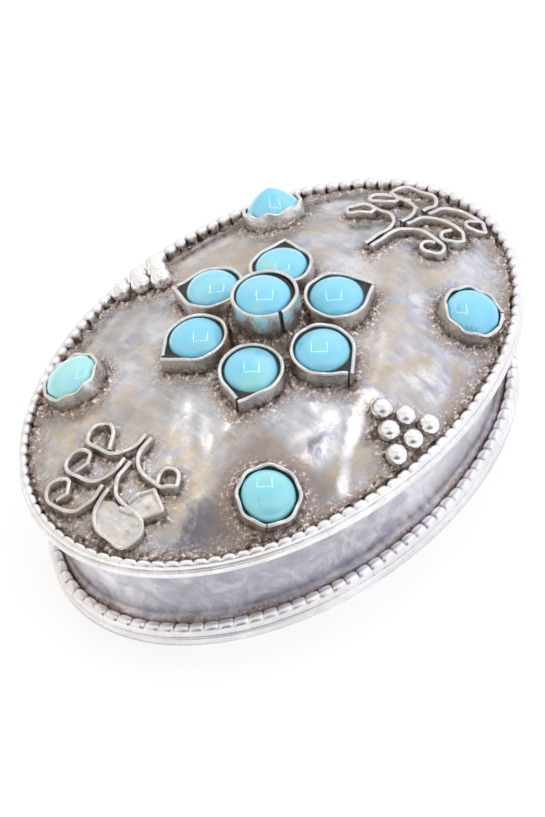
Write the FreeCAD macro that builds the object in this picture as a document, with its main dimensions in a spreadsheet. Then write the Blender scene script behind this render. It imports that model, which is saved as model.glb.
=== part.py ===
import FreeCAD, Part
import math
import os
from types import SimpleNamespace
import Sketcher

# A small oval silver trinket box with a domed lid that lifts off.
# Frame: +Z up, +X along the box, origin on the resting face under the middle of the box.
# The lid carries a flower of teardrop bezels, four corner stones, two pyramids of silver grains
# and two palmettes of ribbon wire. Every piece is a separate solid, as it is before soldering.

# Driving sizes, in millimetres.
SIZES = [
    ("base_gauge", 0.9, "thickness of the base plate"),
    ("rim_gauge", 0.8, "thickness of the lid's rim plate"),
    ("edge_round", 0.2, "rounding of the plate edges"),
    ("wall_height", 9.5, "side wall above the base plate"),
    ("wall_gauge", 0.7, "thickness of the side wall"),
    ("lid_overhang", 1.15, "rim plate beyond the base plate, all round"),
    ("dome_rise", 5.2, "dome top above the rim plate"),
    ("dome_depth", 5.2, "centre of the dome's ellipsoid below the rim plate's top"),
    ("dome_gauge", 0.8, "thickness of the domed sheet"),
    ("collar_drop", 2.2, "collar below the rim plate, inside the wall"),
    ("collar_gauge", 0.6, "thickness of the collar"),
    ("collar_lead", 0.3, "chamfer on the collar's lower outer edge"),
    ("lid_clearance", 0.1, "gap between collar and wall, each side"),
    ("solder_gap", 0.05, "film of solder between curved pieces"),
    ("bead_diameter", 1.5, "beaded wire, across a bead"),
    ("bead_overlap", 0.1, "how far neighbouring beads run into each other"),
    ("bead_seat", 0.15, "depth of the flat under each bead"),
    ("bead_lip", 0.05, "plate that shows outside the beads"),
    ("bezel_gauge", 0.3, "thickness of the bezel strip"),
    ("bezel_slit", 0.12, "open seam where the ends of a bezel strip meet"),
    ("setting_gap", 0.05, "gap between cement and what it holds"),
    ("setting_sink", 0.8, "how far a setting reaches below its seat before it is fitted"),
    ("cement_drop", 0.5, "setting cement below the bezel's edge"),
    ("girdle_height", 0.9, "straight side of each stone"),
    ("girdle_drop", 0.4, "top of the girdle below the bezel's edge"),
    ("stone_crown", 1.3, "domed part of a stone"),
    ("tall_crown", 2.1, "domed part of the tallest corner stone"),
    ("petal_stone", 5.2, "diameter of a petal stone"),
    ("petal_space", 0.2, "cement that shows beside a petal stone"),
    ("petal_point", 1.4, "tip of a petal bezel beyond its round end"),
    ("petal_bed", 0.7, "cement under a petal stone"),
    ("petal_gap", 0.35, "least gap between the flower's bezels"),
    ("centre_stone", 5.4, "diameter of the centre stone"),
    ("centre_space", 0.2, "cement that shows beside the centre stone"),
    ("centre_bed", 3.1, "cement under the centre stone"),
    ("corner_stone", 5.2, "diameter of a corner stone"),
    ("corner_space", 0.15, "room between a corner stone and its bezel"),
    ("corner_bed", 0.3, "cement under a corner stone"),
    ("corner_to_beads", 0.4, "corner bezel to the foot of the dome"),
    ("grain_radius", 1.03, "silver grains"),
    ("grain_seat", 0.12, "depth of the flat under each grain"),
    ("grain_space", 0.14, "gap between neighbouring grains"),
    ("flower_to_grains", 1.1, "petal tip to the first grain"),
    ("grains_to_beads", 0.21, "last row of grains to the foot of the dome"),
    ("ribbon_gauge", 0.45, "thickness of the palmette ribbon"),
    ("ribbon_height", 1.1, "palmette ribbon above the dome"),
    ("left_stem", 0.9, "straight root of the left palmette"),
    ("right_stem", 3.1, "straight root of the right palmette"),
    ("stem_gap", 0.27, "gap between the two stems of a palmette"),
    ("stem_tuck", 0.45, "how far a stem starts under the crook before it"),
    ("palmette_reach", 18.9, "first crook from the middle of the lid"),
    ("palmette_to_beads", 1.3, "last crook to the foot of the dome"),
    ("crook_radius", 2.2, "bend where a crook leaves its stem"),
    ("crook_gap", 0.16, "gap between neighbouring crooks"),
    ("loop_radius", 1.12, "loop at the end of a crook"),
    ("loop_reach", 4.2, "middle of a loop from the palmette's axis"),
]
# Counts and angles in degrees.
PETALS = 6
FIRST_PETAL = 30.0
GRAIN_ROWS = 3
GRAIN_SLOPE = 32.0
GRAIN_NESTING_ANGLE = 30.0
CROOKS = 3
LOOP_ANGLE = 285.0
CORNER_BEARING = 55.0
SEAM_BEARING = -75.0
# Two levels closer than this are the same, in millimetres.
TOLERANCE = 1e-6

doc = FreeCAD.newDocument("trinket_box")
sheet = doc.addObject("Spreadsheet::Sheet", "sizes")
for row, (alias, number, note) in enumerate(SIZES, start=1):
    sheet.set(f"A{row}", note)
    sheet.set(f"B{row}", str(number))
    sheet.setAlias(f"B{row}", alias)
doc.recompute()


class Size:
    """A length: the expression of sheet cells that gives it, and its value."""

    def __init__(self, text, value):
        self.text = text
        self.value = value

    def join(self, sign, other, value):
        text = other.text if isinstance(other, Size) else str(other)
        return Size(f"({self.text} {sign} {text})", value)

    def __add__(self, other):
        return self.join("+", other, self.value + other.value)

    def __sub__(self, other):
        return self.join("-", other, self.value - other.value)

    def __mul__(self, factor):
        return self.join("*", factor, self.value * getattr(factor, "value", factor))

    def __truediv__(self, factor):
        return self.join("/", factor, self.value / getattr(factor, "value", factor))


def larger(one, other):
    """The larger of two sizes."""
    return Size(f"max({one.text}; {other.text})", max(one.value, other.value))


mm = SimpleNamespace(**{name: Size(f"sizes.{name}", float(sheet.get(name))) for name, _, _ in SIZES})
NONE = Size("0", 0.0)

# Sizes that follow from the driving ones, from the flower outwards.
petal_radius = mm.petal_stone / 2 + mm.petal_space + mm.bezel_gauge
petal_tip = petal_radius + mm.petal_point
centre_radius = mm.centre_stone / 2 + mm.centre_space + mm.bezel_gauge
corner_radius = mm.corner_stone / 2 + mm.corner_space + mm.bezel_gauge
petal_ring = larger(petal_radius + centre_radius, petal_radius * 2) + mm.petal_gap
grain_pitch = mm.grain_radius * 2 + mm.grain_space
row_share = math.cos(math.radians(GRAIN_NESTING_ANGLE)) * math.cos(math.radians(GRAIN_SLOPE))
grain_row = grain_pitch * row_share
first_grain = petal_ring + petal_tip + mm.flower_to_grains + mm.grain_radius
last_grain = first_grain + grain_row * (GRAIN_ROWS - 1)
crook_pitch = mm.loop_radius * 2 + mm.ribbon_gauge + mm.crook_gap
last_crook = mm.palmette_reach + crook_pitch * (CROOKS - 1)
dome_half = (last_crook + mm.palmette_to_beads, last_grain + mm.grain_radius + mm.grains_to_beads)


def oval(halves, growth):
    """Half length and half width of an oval that is larger by growth all round."""
    return tuple(half + growth for half in halves)


ledge = mm.bead_diameter + mm.solder_gap + mm.bead_lip
lid_half = oval(dome_half, ledge)
base_half = oval(lid_half, NONE - mm.lid_overhang)
wall_half = oval(base_half, NONE - ledge)
well_half = oval(wall_half, NONE - mm.wall_gauge)
collar_half = oval(well_half, NONE - mm.lid_clearance)
opening_half = oval(collar_half, NONE - mm.collar_gauge)

# Levels above the resting face.
rim_under = mm.base_gauge + mm.wall_height
rim_top = rim_under + mm.rim_gauge
dome_centre = rim_top - mm.dome_depth

# Half axes of the ellipsoid whose cap is the dome.
dome_height = mm.dome_rise + mm.dome_depth
foot_share = mm.dome_depth / dome_height
spread = Size(f"sqrt(1 - {foot_share.text} ^ 2)", math.sqrt(1 - foot_share.value ** 2))
dome_axes = (dome_half[0] / spread, dome_half[1] / spread, dome_height)

nodes = []


def keep(piece, label):
    """Names a finished piece and lists it for writing."""
    piece.Label = label
    nodes.append(piece)


def seat(x, y, heading=0.0):
    """Place on the dome above (x, y): Z along its normal, X towards a heading from +X."""
    a, b, c = (axis.value for axis in dome_axes)
    rise = c * math.sqrt(1 - (x / a) ** 2 - (y / b) ** 2)
    normal = FreeCAD.Vector(x / a ** 2, y / b ** 2, rise / c ** 2).normalize()
    turn = math.radians(heading)
    side = normal.cross(FreeCAD.Vector(math.cos(turn), math.sin(turn), 0)).normalize()
    axes = FreeCAD.Rotation(side.cross(normal), side, normal, "ZXY")
    return FreeCAD.Placement(FreeCAD.Vector(x, y, dome_centre.value + rise), axes)


def add_sketch(body, level=NONE, role="XY_Plane"):
    """A sketch on one of a body's own planes, lifted to a level."""
    sketch = body.newObject("Sketcher::SketchObject", "sketch")
    plane = next(item for item in body.Origin.OriginFeatures if item.Role == role)
    sketch.AttachmentSupport = [(plane, "")]
    sketch.MapMode = "FlatFace"
    sketch.setExpression("AttachmentOffset.Base.z", level.text)
    return sketch


def dimension(sketch, kind, *where, size):
    """Adds a dimension to a sketch and ties it to a size."""
    index = sketch.addConstraint(Sketcher.Constraint(kind, *where, size.value))
    sketch.setExpression(f"Constraints[{index}]", size.text)


def relate(sketch, *rules):
    """Adds geometric rules to a sketch."""
    for rule in rules:
        sketch.addConstraint(Sketcher.Constraint(*rule))


def draw_oval(sketch, halves):
    """An ellipse about the sketch's origin."""
    length, width = (half * 2 for half in halves)
    ends = FreeCAD.Vector(length.value / 2, 0, 0), FreeCAD.Vector(0, width.value / 2, 0)
    curve = sketch.addGeometry(Part.Ellipse(*ends, FreeCAD.Vector(0, 0, 0)), False)
    sketch.exposeInternalGeometry(curve)
    relate(sketch, ("Coincident", curve, 3, -1, 1), ("Horizontal", curve + 1))
    dimension(sketch, "Distance", curve + 1, size=length)
    dimension(sketch, "Distance", curve + 2, size=width)


def draw_circle(sketch, radius):
    """A circle about the sketch's origin."""
    circle = Part.Circle(FreeCAD.Vector(0, 0, 0), FreeCAD.Vector(0, 0, 1), radius.value)
    curve = sketch.addGeometry(circle, False)
    relate(sketch, ("Coincident", curve, 3, -1, 1))
    dimension(sketch, "Radius", curve, size=radius)


def draw_teardrop(sketch, radius, tip):
    """A round end about the origin, and two tangent sides that meet at a tip on +X."""
    open_angle = math.acos(radius.value / tip.value)
    touch = FreeCAD.Vector(math.cos(open_angle), math.sin(open_angle), 0) * radius.value
    point = FreeCAD.Vector(tip.value, 0, 0)
    circle = Part.Circle(FreeCAD.Vector(0, 0, 0), FreeCAD.Vector(0, 0, 1), radius.value)
    end = sketch.addGeometry(Part.ArcOfCircle(circle, open_angle, 2 * math.pi - open_angle), False)
    right = sketch.addGeometry(Part.LineSegment(FreeCAD.Vector(touch.x, -touch.y, 0), point), False)
    left = sketch.addGeometry(Part.LineSegment(point, touch), False)
    relate(
        sketch,
        ("Coincident", end, 3, -1, 1),
        ("Tangent", end, 2, right, 1),
        ("Coincident", right, 2, left, 1),
        ("Tangent", left, 2, end, 1),
        ("PointOnObject", right, 2, -1),
    )
    dimension(sketch, "Radius", end, size=radius)
    dimension(sketch, "DistanceX", -1, 1, right, 2, size=tip)


def draw_slot(sketch, length, width):
    """A rectangle from the origin along +X, centred on the X axis."""
    far, half = length.value, width.value / 2
    corners = [FreeCAD.Vector(x, y, 0) for x, y in ((0, -half), (far, -half), (far, half), (0, half))]
    sides = [
        sketch.addGeometry(Part.LineSegment(corners[k], corners[(k + 1) % 4]), False) for k in range(4)
    ]
    relate(sketch, *(("Coincident", sides[k], 2, sides[(k + 1) % 4], 1) for k in range(4)))
    relate(sketch, ("Horizontal", sides[0]), ("Vertical", sides[1]), ("Horizontal", sides[2]))
    relate(sketch, ("Symmetric", sides[3], 1, sides[3], 2, -1, 1))
    dimension(sketch, "Distance", sides[0], size=length)
    dimension(sketch, "Distance", sides[1], size=width)


def pad(body, sketch, height):
    """Raises a sketch."""
    raised = body.newObject("PartDesign::Pad", "pad")
    raised.Profile = sketch
    raised.setExpression("Length", height.text)
    doc.recompute()
    return raised


def pocket(body, sketch, depth):
    """Cuts downwards from a sketch, and makes sure that it removed something."""
    before = body.Shape.Volume
    cut = body.newObject("PartDesign::Pocket", "pocket")
    cut.Profile = sketch
    cut.setExpression("Length", depth.text)
    doc.recompute()
    if body.Shape.Volume >= before:
        raise RuntimeError(f"{body.Name}: the pocket removed nothing")


def outer_edges(shape, *levels):
    """Names of the widest edge in the plane at each level."""
    edges = list(enumerate(shape.Edges, start=1))
    found = []
    for level in levels:
        flat = [
            (edge.BoundBox.XLength, k)
            for k, edge in edges
            if abs(edge.BoundBox.ZMin - level.value) < TOLERANCE and edge.BoundBox.ZLength < TOLERANCE
        ]
        found.append(f"Edge{max(flat)[1]}")
    return found


def soften(body, feature, kind, edges, measure, size):
    """Rounds or chamfers named edges of a feature."""
    finish = body.newObject(f"PartDesign::{kind}", kind.lower())
    finish.Base = (feature, edges)
    finish.setExpression(measure, size.text)
    doc.recompute()


def combine(kind, name, base, tool):
    """A boolean of two objects: Cut, Common or Fuse."""
    made = doc.addObject(f"Part::{kind}", name)
    made.Base = base
    made.Tool = tool
    doc.recompute()
    return made


def oval_band(label, outside, inside, level, height):
    """A body with one raised oval, or the band between two ovals."""
    body = doc.addObject("PartDesign::Body", label)
    sketch = add_sketch(body, level)
    draw_oval(sketch, outside)
    if inside:
        draw_oval(sketch, inside)
    raised = pad(body, sketch, height)
    keep(body, label)
    return body, raised


# The base: a flat oval plate, and the oval band that is soldered upright on it.
base_plate, base_pad = oval_band("base_plate", base_half, None, NONE, mm.base_gauge)
edges = outer_edges(base_plate.Shape, mm.base_gauge)
soften(base_plate, base_pad, "Fillet", edges, "Radius", mm.edge_round)
oval_band("side_wall", wall_half, well_half, mm.base_gauge, mm.wall_height)

# The lid's frame: a flat oval ring that rests on the wall, and the collar that slides into the wall.
rim_plate, rim_pad = oval_band("lid_rim_plate", lid_half, opening_half, rim_under, mm.rim_gauge)
edges = outer_edges(rim_plate.Shape, rim_under, rim_top)
soften(rim_plate, rim_pad, "Fillet", edges, "Radius", mm.edge_round)
collar_foot = rim_under - mm.collar_drop
collar, collar_pad = oval_band("lid_collar", collar_half, opening_half, collar_foot, mm.collar_drop)
edges = outer_edges(collar.Shape, collar_foot)
soften(collar, collar_pad, "Chamfer", edges, "Size", mm.collar_lead)


def ellipsoid(name, growth):
    """The dome's ellipsoid, larger by growth all round."""
    solid = doc.addObject("Part::Ellipsoid", name)
    solid.setExpression("Radius1", (dome_axes[2] + growth).text)
    solid.setExpression("Radius2", (dome_axes[0] + growth).text)
    solid.setExpression("Radius3", (dome_axes[1] + growth).text)
    solid.setExpression("Placement.Base.z", dome_centre.text)
    return solid


def slab(name, bottom, top):
    """A block wider than the lid, between two levels."""
    block = doc.addObject("Part::Box", name)
    block.setExpression("Length", (lid_half[0] * 4).text)
    block.setExpression("Width", (lid_half[1] * 4).text)
    block.setExpression("Height", (top - bottom).text)
    block.setExpression("Placement.Base.x", (lid_half[0] * -2).text)
    block.setExpression("Placement.Base.y", (lid_half[1] * -2).text)
    block.setExpression("Placement.Base.z", bottom.text)
    return block


# The dome: a thin cap of the ellipsoid that stands on the rim plate.
over_rim = slab("over_rim", rim_top, rim_top + dome_height)
cap = combine("Common", "dome_cap", ellipsoid("dome_outside", NONE), over_rim)
keep(combine("Cut", "lid_dome", cap, ellipsoid("dome_inside", NONE - mm.dome_gauge)), "lid_dome")

# Ornaments are trimmed by the filled lid, one film of solder above dome and rim plate.
seat_rim = slab("seat_rim", NONE, rim_top + mm.solder_gap)
seat_former = combine("Fuse", "seat_former", ellipsoid("seat_dome", mm.solder_gap), seat_rim)
ribbon_former = ellipsoid("ribbon_former", mm.solder_gap + mm.ribbon_height)


def fitted(blank, label):
    """The blank of an ornament, trimmed underneath to sit on the lid."""
    return combine("Cut", f"{label}_fitted", blank, seat_former)


def beaded_wire(label, halves, level):
    """Beads in a row along an oval, each flattened underneath where it is soldered."""
    radius = (mm.bead_diameter / 2).value
    path = Part.Ellipse(
        FreeCAD.Vector(0, 0, 0), *(half.value + radius + mm.solder_gap.value for half in halves)
    ).toShape()
    count = math.ceil(path.Length / (mm.bead_diameter - mm.bead_overlap).value)
    lift = FreeCAD.Vector(0, 0, level.value + radius - mm.bead_seat.value)
    places = path.discretize(Number=count + 1)[:-1]
    beads = [Part.makeSphere(radius, place + lift) for place in places]
    corner = FreeCAD.Vector(-2 * lid_half[0].value, -2 * lid_half[1].value, 0)
    below = Part.makeBox(-2 * corner.x, -2 * corner.y, level.value, corner)
    wire = doc.addObject("Part::Feature", label)
    wire.Shape = beads[0].multiFuse(beads[1:]).cut(below)
    keep(wire, label)
    print(label, count, "beads")


beaded_wire("base_beaded_wire", wall_half, mm.base_gauge)
beaded_wire("lid_beaded_wire", dome_half, rim_top)


def stone(label, place, diameter, bed, crown):
    """A cabochon turned about its own axis: flat back, straight girdle, domed crown."""
    body = doc.addObject("PartDesign::Body", label)
    sketch = add_sketch(body, role="XZ_Plane")
    radius = (diameter / 2).value
    girdle = bed.value + mm.girdle_height.value
    bow = (radius ** 2 + crown.value ** 2) / (2 * crown.value)
    centre = FreeCAD.Vector(0, girdle + crown.value - bow, 0)
    corners = [(0, bed.value), (radius, bed.value), (radius, girdle), (0, girdle + crown.value)]
    foot, heel, shoulder, top = (FreeCAD.Vector(x, y, 0) for x, y in corners)
    back = sketch.addGeometry(Part.LineSegment(foot, heel), False)
    side = sketch.addGeometry(Part.LineSegment(heel, shoulder), False)
    circle = Part.Circle(centre, FreeCAD.Vector(0, 0, 1), bow)
    start = math.atan2(shoulder.y - centre.y, shoulder.x)
    dome = sketch.addGeometry(Part.ArcOfCircle(circle, start, math.pi / 2), False)
    axis = sketch.addGeometry(Part.LineSegment(top, foot), False)
    relate(
        sketch,
        ("Coincident", back, 2, side, 1),
        ("Coincident", side, 2, dome, 1),
        ("Coincident", dome, 2, axis, 1),
        ("Coincident", axis, 2, back, 1),
        ("Horizontal", back),
        ("Vertical", side),
        ("PointOnObject", back, 1, -2),
        ("PointOnObject", dome, 2, -2),
        ("PointOnObject", dome, 3, -2),
    )
    dimension(sketch, "DistanceY", -1, 1, back, 1, size=bed)
    dimension(sketch, "Distance", back, size=diameter / 2)
    dimension(sketch, "Distance", side, size=mm.girdle_height)
    dimension(sketch, "DistanceY", dome, 1, dome, 2, size=crown)
    turned = body.newObject("PartDesign::Revolution", "turned")
    turned.Profile = sketch
    turned.ReferenceAxis = (sketch, ["V_Axis"])
    turned.Angle = 360
    body.Placement = place
    doc.recompute()
    keep(body, label)


def setting(name, number, place, radius, tip, diameter, bed, crown=mm.stone_crown):
    """A stone in its bezel: a strip on edge, round or drawn out to a tip, filled with cement."""
    height = bed + mm.girdle_height + mm.girdle_drop
    under = NONE - mm.setting_sink

    def draw(sketch, inset):
        """The bezel's outline, moved inwards by an inset."""
        if tip:
            draw_teardrop(sketch, radius - inset, tip * (radius - inset) / radius)
        else:
            draw_circle(sketch, radius - inset)

    strip = doc.addObject("PartDesign::Body", f"{name}_strip")
    sketch = add_sketch(strip, under)
    draw(sketch, NONE)
    draw(sketch, mm.bezel_gauge)
    pad(strip, sketch, height - under)
    seam = add_sketch(strip, height)
    draw_slot(seam, (tip or radius) + mm.bezel_gauge, mm.bezel_slit)
    pocket(strip, seam, height - under)
    strip.Placement = place

    fill = doc.addObject("PartDesign::Body", f"{name}_fill")
    sketch = add_sketch(fill, under)
    draw(sketch, mm.bezel_gauge + mm.setting_gap)
    if tip or name == "centre":
        level = height - mm.cement_drop
        pad(fill, sketch, level - under)
        bed_sketch = add_sketch(fill, level)
        draw_circle(bed_sketch, diameter / 2 + mm.setting_gap)
        pocket(fill, bed_sketch, level - bed)
    else:
        pad(fill, sketch, bed - under)
    fill.Placement = place

    keep(fitted(strip, f"{name}_bezel{number}"), f"{name}_bezel{number}")
    keep(fitted(fill, f"{name}_cement{number}"), f"{name}_cement{number}")
    stone(f"{name}_stone{number}", place, diameter, bed, crown)


# The flower: six teardrop settings round a taller round one.
for k in range(PETALS):
    bearing = FIRST_PETAL + k * 360 / PETALS
    x = petal_ring.value * math.cos(math.radians(bearing))
    y = petal_ring.value * math.sin(math.radians(bearing))
    place = seat(x, y, bearing)
    setting("petal", f"_{k + 1}", place, petal_radius, petal_tip, mm.petal_stone, mm.petal_bed)
place = seat(0, 0, SEAM_BEARING)
setting("centre", "", place, centre_radius, None, mm.centre_stone, mm.centre_bed)

# Corner settings: each a little inside the foot of the dome, tilted with it.
along, across = (half.value for half in dome_half)
edge_x = along * math.cos(math.radians(CORNER_BEARING))
edge_y = across * math.sin(math.radians(CORNER_BEARING))
inward = FreeCAD.Vector(edge_x / along ** 2, edge_y / across ** 2, 0).normalize()
corner = FreeCAD.Vector(edge_x, edge_y, 0) - inward * (corner_radius + mm.corner_to_beads).value
for k, (side_x, side_y) in enumerate(((1, 1), (-1, 1), (-1, -1), (1, -1)), start=1):
    heading = math.degrees(math.atan2(side_y * corner.y, side_x * corner.x))
    place = seat(side_x * corner.x, side_y * corner.y, heading)
    crown = mm.tall_crown if k == 1 else mm.stone_crown
    setting("corner", f"_{k}", place, corner_radius, None, mm.corner_stone, mm.corner_bed, crown)


def grain_pyramid(label, side):
    """Rows of one, two and three balls, each flat underneath, with the single one towards the flower."""
    flat_depth = mm.grain_radius - mm.grain_seat
    lift = FreeCAD.Placement(FreeCAD.Vector(0, 0, (mm.solder_gap + flat_depth).value), FreeCAD.Rotation())
    grains = []
    for line in range(GRAIN_ROWS):
        for k in range(line + 1):
            place = seat((k - line / 2) * grain_pitch.value, side * (first_grain + grain_row * line).value)
            ball = doc.addObject("Part::Sphere", "grain")
            ball.setExpression("Radius", mm.grain_radius.text)
            ball.setExpression("Angle1", f"-asin({(flat_depth / mm.grain_radius).text})")
            ball.Placement = place * lift
            grains.append(ball)
    group = doc.addObject("Part::Compound", label)
    group.Links = grains
    doc.recompute()
    keep(group, label)


grain_pyramid("front_grains", -1)
grain_pyramid("back_grains", 1)


def ribbon_outline(start, heading, moves, gauge):
    """A ribbon on edge seen from above: runs (length, 0) and bends (radius, turn in degrees)."""
    point, angle = start, math.radians(heading)
    sides = {1: [], -1: []}
    caps = []

    def off(place, direction, distance):
        """A point to the left of a place, for someone facing a direction."""
        return place + FreeCAD.Vector(-math.sin(direction), math.cos(direction), 0) * distance

    def cap():
        """The square end of the ribbon."""
        return Part.LineSegment(off(point, angle, gauge / 2), off(point, angle, -gauge / 2)).toShape()

    caps.append(cap())
    for size, degrees in moves:
        turn = math.radians(degrees)
        hand = math.copysign(1, turn)
        centre = off(point, angle, hand * size)
        for side, track in sides.items():
            if turn:
                reach = side * gauge / 2 - hand * size
                bend = [off(centre, angle + turn * share, reach) for share in (0, 0.5, 1)]
                track.append(Part.Arc(*bend).toShape())
            else:
                ahead = FreeCAD.Vector(math.cos(angle), math.sin(angle), 0) * size
                edge = off(point, angle, side * gauge / 2)
                track.append(Part.LineSegment(edge, edge + ahead).toShape())
        if turn:
            angle += turn
            point = off(centre, angle, -hand * size)
        else:
            point = point + ahead
    caps.append(cap())
    return Part.Face(Part.Wire(Part.__sortEdges__(sides[1] + sides[-1] + caps)))


def palmette(name, way, root):
    """Three crooks on each side of a stem that points away from the flower, way +1 or -1 along X."""
    offset = (mm.stem_gap / 2 + mm.ribbon_gauge / 2).value
    bend = mm.crook_radius.value
    rise = mm.loop_reach.value - offset - bend
    for side, side_name in ((1, "back"), (-1, "front")):
        for k in range(CROOKS):
            reach = (mm.palmette_reach + crook_pitch * k).value
            stem = root.value if k == 0 else (crook_pitch + mm.stem_tuck).value - bend
            start = FreeCAD.Vector(way * (reach - bend - stem), side * offset, 0)
            hand = way * side
            moves = [(stem, 0), (bend, 90 * hand), (rise, 0), (mm.loop_radius.value, LOOP_ANGLE * hand)]
            outline = ribbon_outline(start, 0 if way > 0 else 180, moves, mm.ribbon_gauge.value)
            label = f"{name}_{side_name}_scroll_{k + 1}"
            blank = doc.addObject("Part::Feature", "scroll_blank")
            blank.Shape = outline.extrude(FreeCAD.Vector(0, 0, 2 * rim_top.value))
            keep(fitted(combine("Common", "scroll", blank, ribbon_former), label), label)


palmette("left", -1, mm.left_stem)
palmette("right", 1, mm.right_stem)

# Every object has to be sound before anything is written.
for item in doc.Objects:
    if "Invalid" in item.State or "Error" in item.State:
        raise RuntimeError(f"{item.Label} failed: {item.State}")
for piece in nodes:
    if piece.Shape.isNull() or not piece.Shape.isValid() or not piece.Shape.Solids:
        raise RuntimeError(f"{piece.Label} has no valid shape")
os.makedirs("parts", exist_ok=True)
for piece in nodes:
    piece.Shape.exportStep(f"parts/{piece.Label}.step")
whole = Part.makeCompound([piece.Shape for piece in nodes]).optimalBoundingBox()
print(f"{len(nodes)} nodes, {whole.XLength:.2f} x {whole.YLength:.2f} x {whole.ZLength:.2f} mm")
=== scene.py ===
# %% [markdown]
# # A small oval silver box with turquoise
#
# The box is hand work: an oval band on an oval plate, a raised lid, and ornaments that were cut from
# strip and wire and soldered on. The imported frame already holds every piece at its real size. This
# script gives each piece the shape that a hand leaves, such as a wandering rim or a bruised dome, and
# the finish that years leave. Places come from the frame, give or take the bit by which a hand misses.

# %% Load the frame
import math

import bpy
import numpy as np
from mathutils import Matrix, Vector


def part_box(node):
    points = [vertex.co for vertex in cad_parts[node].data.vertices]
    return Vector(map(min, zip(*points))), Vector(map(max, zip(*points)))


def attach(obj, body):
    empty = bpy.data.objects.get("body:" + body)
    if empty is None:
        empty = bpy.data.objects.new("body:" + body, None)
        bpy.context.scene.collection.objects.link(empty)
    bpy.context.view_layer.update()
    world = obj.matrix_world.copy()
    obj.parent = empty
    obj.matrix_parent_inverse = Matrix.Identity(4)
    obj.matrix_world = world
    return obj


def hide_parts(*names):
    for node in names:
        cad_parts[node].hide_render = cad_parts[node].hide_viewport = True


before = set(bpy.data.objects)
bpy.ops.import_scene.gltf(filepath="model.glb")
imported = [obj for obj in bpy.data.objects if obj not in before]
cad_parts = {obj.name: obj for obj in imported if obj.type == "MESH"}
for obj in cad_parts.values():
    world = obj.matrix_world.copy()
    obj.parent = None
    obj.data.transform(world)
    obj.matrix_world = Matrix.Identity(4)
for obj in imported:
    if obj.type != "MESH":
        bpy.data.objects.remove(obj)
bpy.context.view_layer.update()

MM = 0.001


def span(node):
    """Lowest and highest corner of a node of the frame, in millimetres."""
    low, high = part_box(node)
    return np.array(low) / MM, np.array(high) / MM


# %% [markdown]
# ## Skins over rings of points
#
# Almost every piece here is a profile carried along a path: a strip bent round a stone, a stone turned
# on its axis, a plate with a round edge. One could draw a curve with a bevel for each, but then the hand
# marks are hard to add. Instead a piece is a whole array of points, one ring of points after another,
# and a skin is stretched over the rings. A ring moved a little is a dent, and numpy moves them all at
# once. A drum of known volume shows that the skin closes.

# %% Skin


def skin(rings, closed=False, **marks):
    """Quads between each ring of points and the next, with a fan of triangles over each open end.
    The signed volume, the sum of p0 . (p1 x p2) / 6, tells whether the faces have to be turned over.
    Marks are values per point, which the finishes read."""
    rows, around = rings.shape[:2]
    index = np.arange(rows * around).reshape(rows, around)
    here = index if closed else index[:-1]
    ahead = np.roll(index, -1, 0) if closed else index[1:]
    quads = np.stack([here, np.roll(here, -1, 1), np.roll(ahead, -1, 1), ahead], -1).reshape(-1, 4)
    points = rings.reshape(-1, 3)
    marks = {name: np.broadcast_to(mark, (rows, around)) for name, mark in marks.items()}
    fans = np.empty((0, 3), int)
    values = {name: mark.ravel() for name, mark in marks.items()}
    if not closed:
        points = np.concatenate([points, [rings[0].mean(0), rings[-1].mean(0)]])
        first = [np.roll(index[0], -1), index[0], np.full(around, rows * around)]
        last = [index[-1], np.roll(index[-1], -1), np.full(around, rows * around + 1)]
        fans = np.concatenate([np.stack(first, -1), np.stack(last, -1)])
        ends = {name: [mark[0].mean(), mark[-1].mean()] for name, mark in marks.items()}
        values = {name: np.concatenate([value, ends[name]]) for name, value in values.items()}
    triangles = np.concatenate([quads[:, :3], quads[:, [0, 2, 3]], fans])
    a, b, c = (points[triangles[:, k]] for k in range(3))
    volume = np.einsum("ij,ij->i", a, np.cross(b, c)).sum() / 6
    if volume < 0:
        quads, fans = quads[:, ::-1], fans[:, ::-1]
    return {"points": points, "quads": quads, "fans": fans, "marks": values, "volume": abs(volume)}


drum_turn = np.linspace(0, 2 * math.pi, 90, endpoint=False)
drum_ends = [np.stack([np.cos(drum_turn), np.sin(drum_turn), level + 0 * drum_turn], -1) for level in (0, 1)]
print("drum of radius 1 and height 1:", round(skin(np.stack(drum_ends))["volume"], 3), "mm3, just under pi")

# %% [markdown]
# ## From skins to a piece
#
# A mesh could be filled point by point, but foreach_set hands over whole arrays and is many times faster.
# A piece may join several skins, as a cluster of grains does. It rides on one body of the frame and stands
# for the nodes that it replaces. Only edges sharper than a set angle stay sharp, so that plates keep their
# corners and round things look round.

# %% Piece
SHARP = math.radians(50)
made = []


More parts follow.
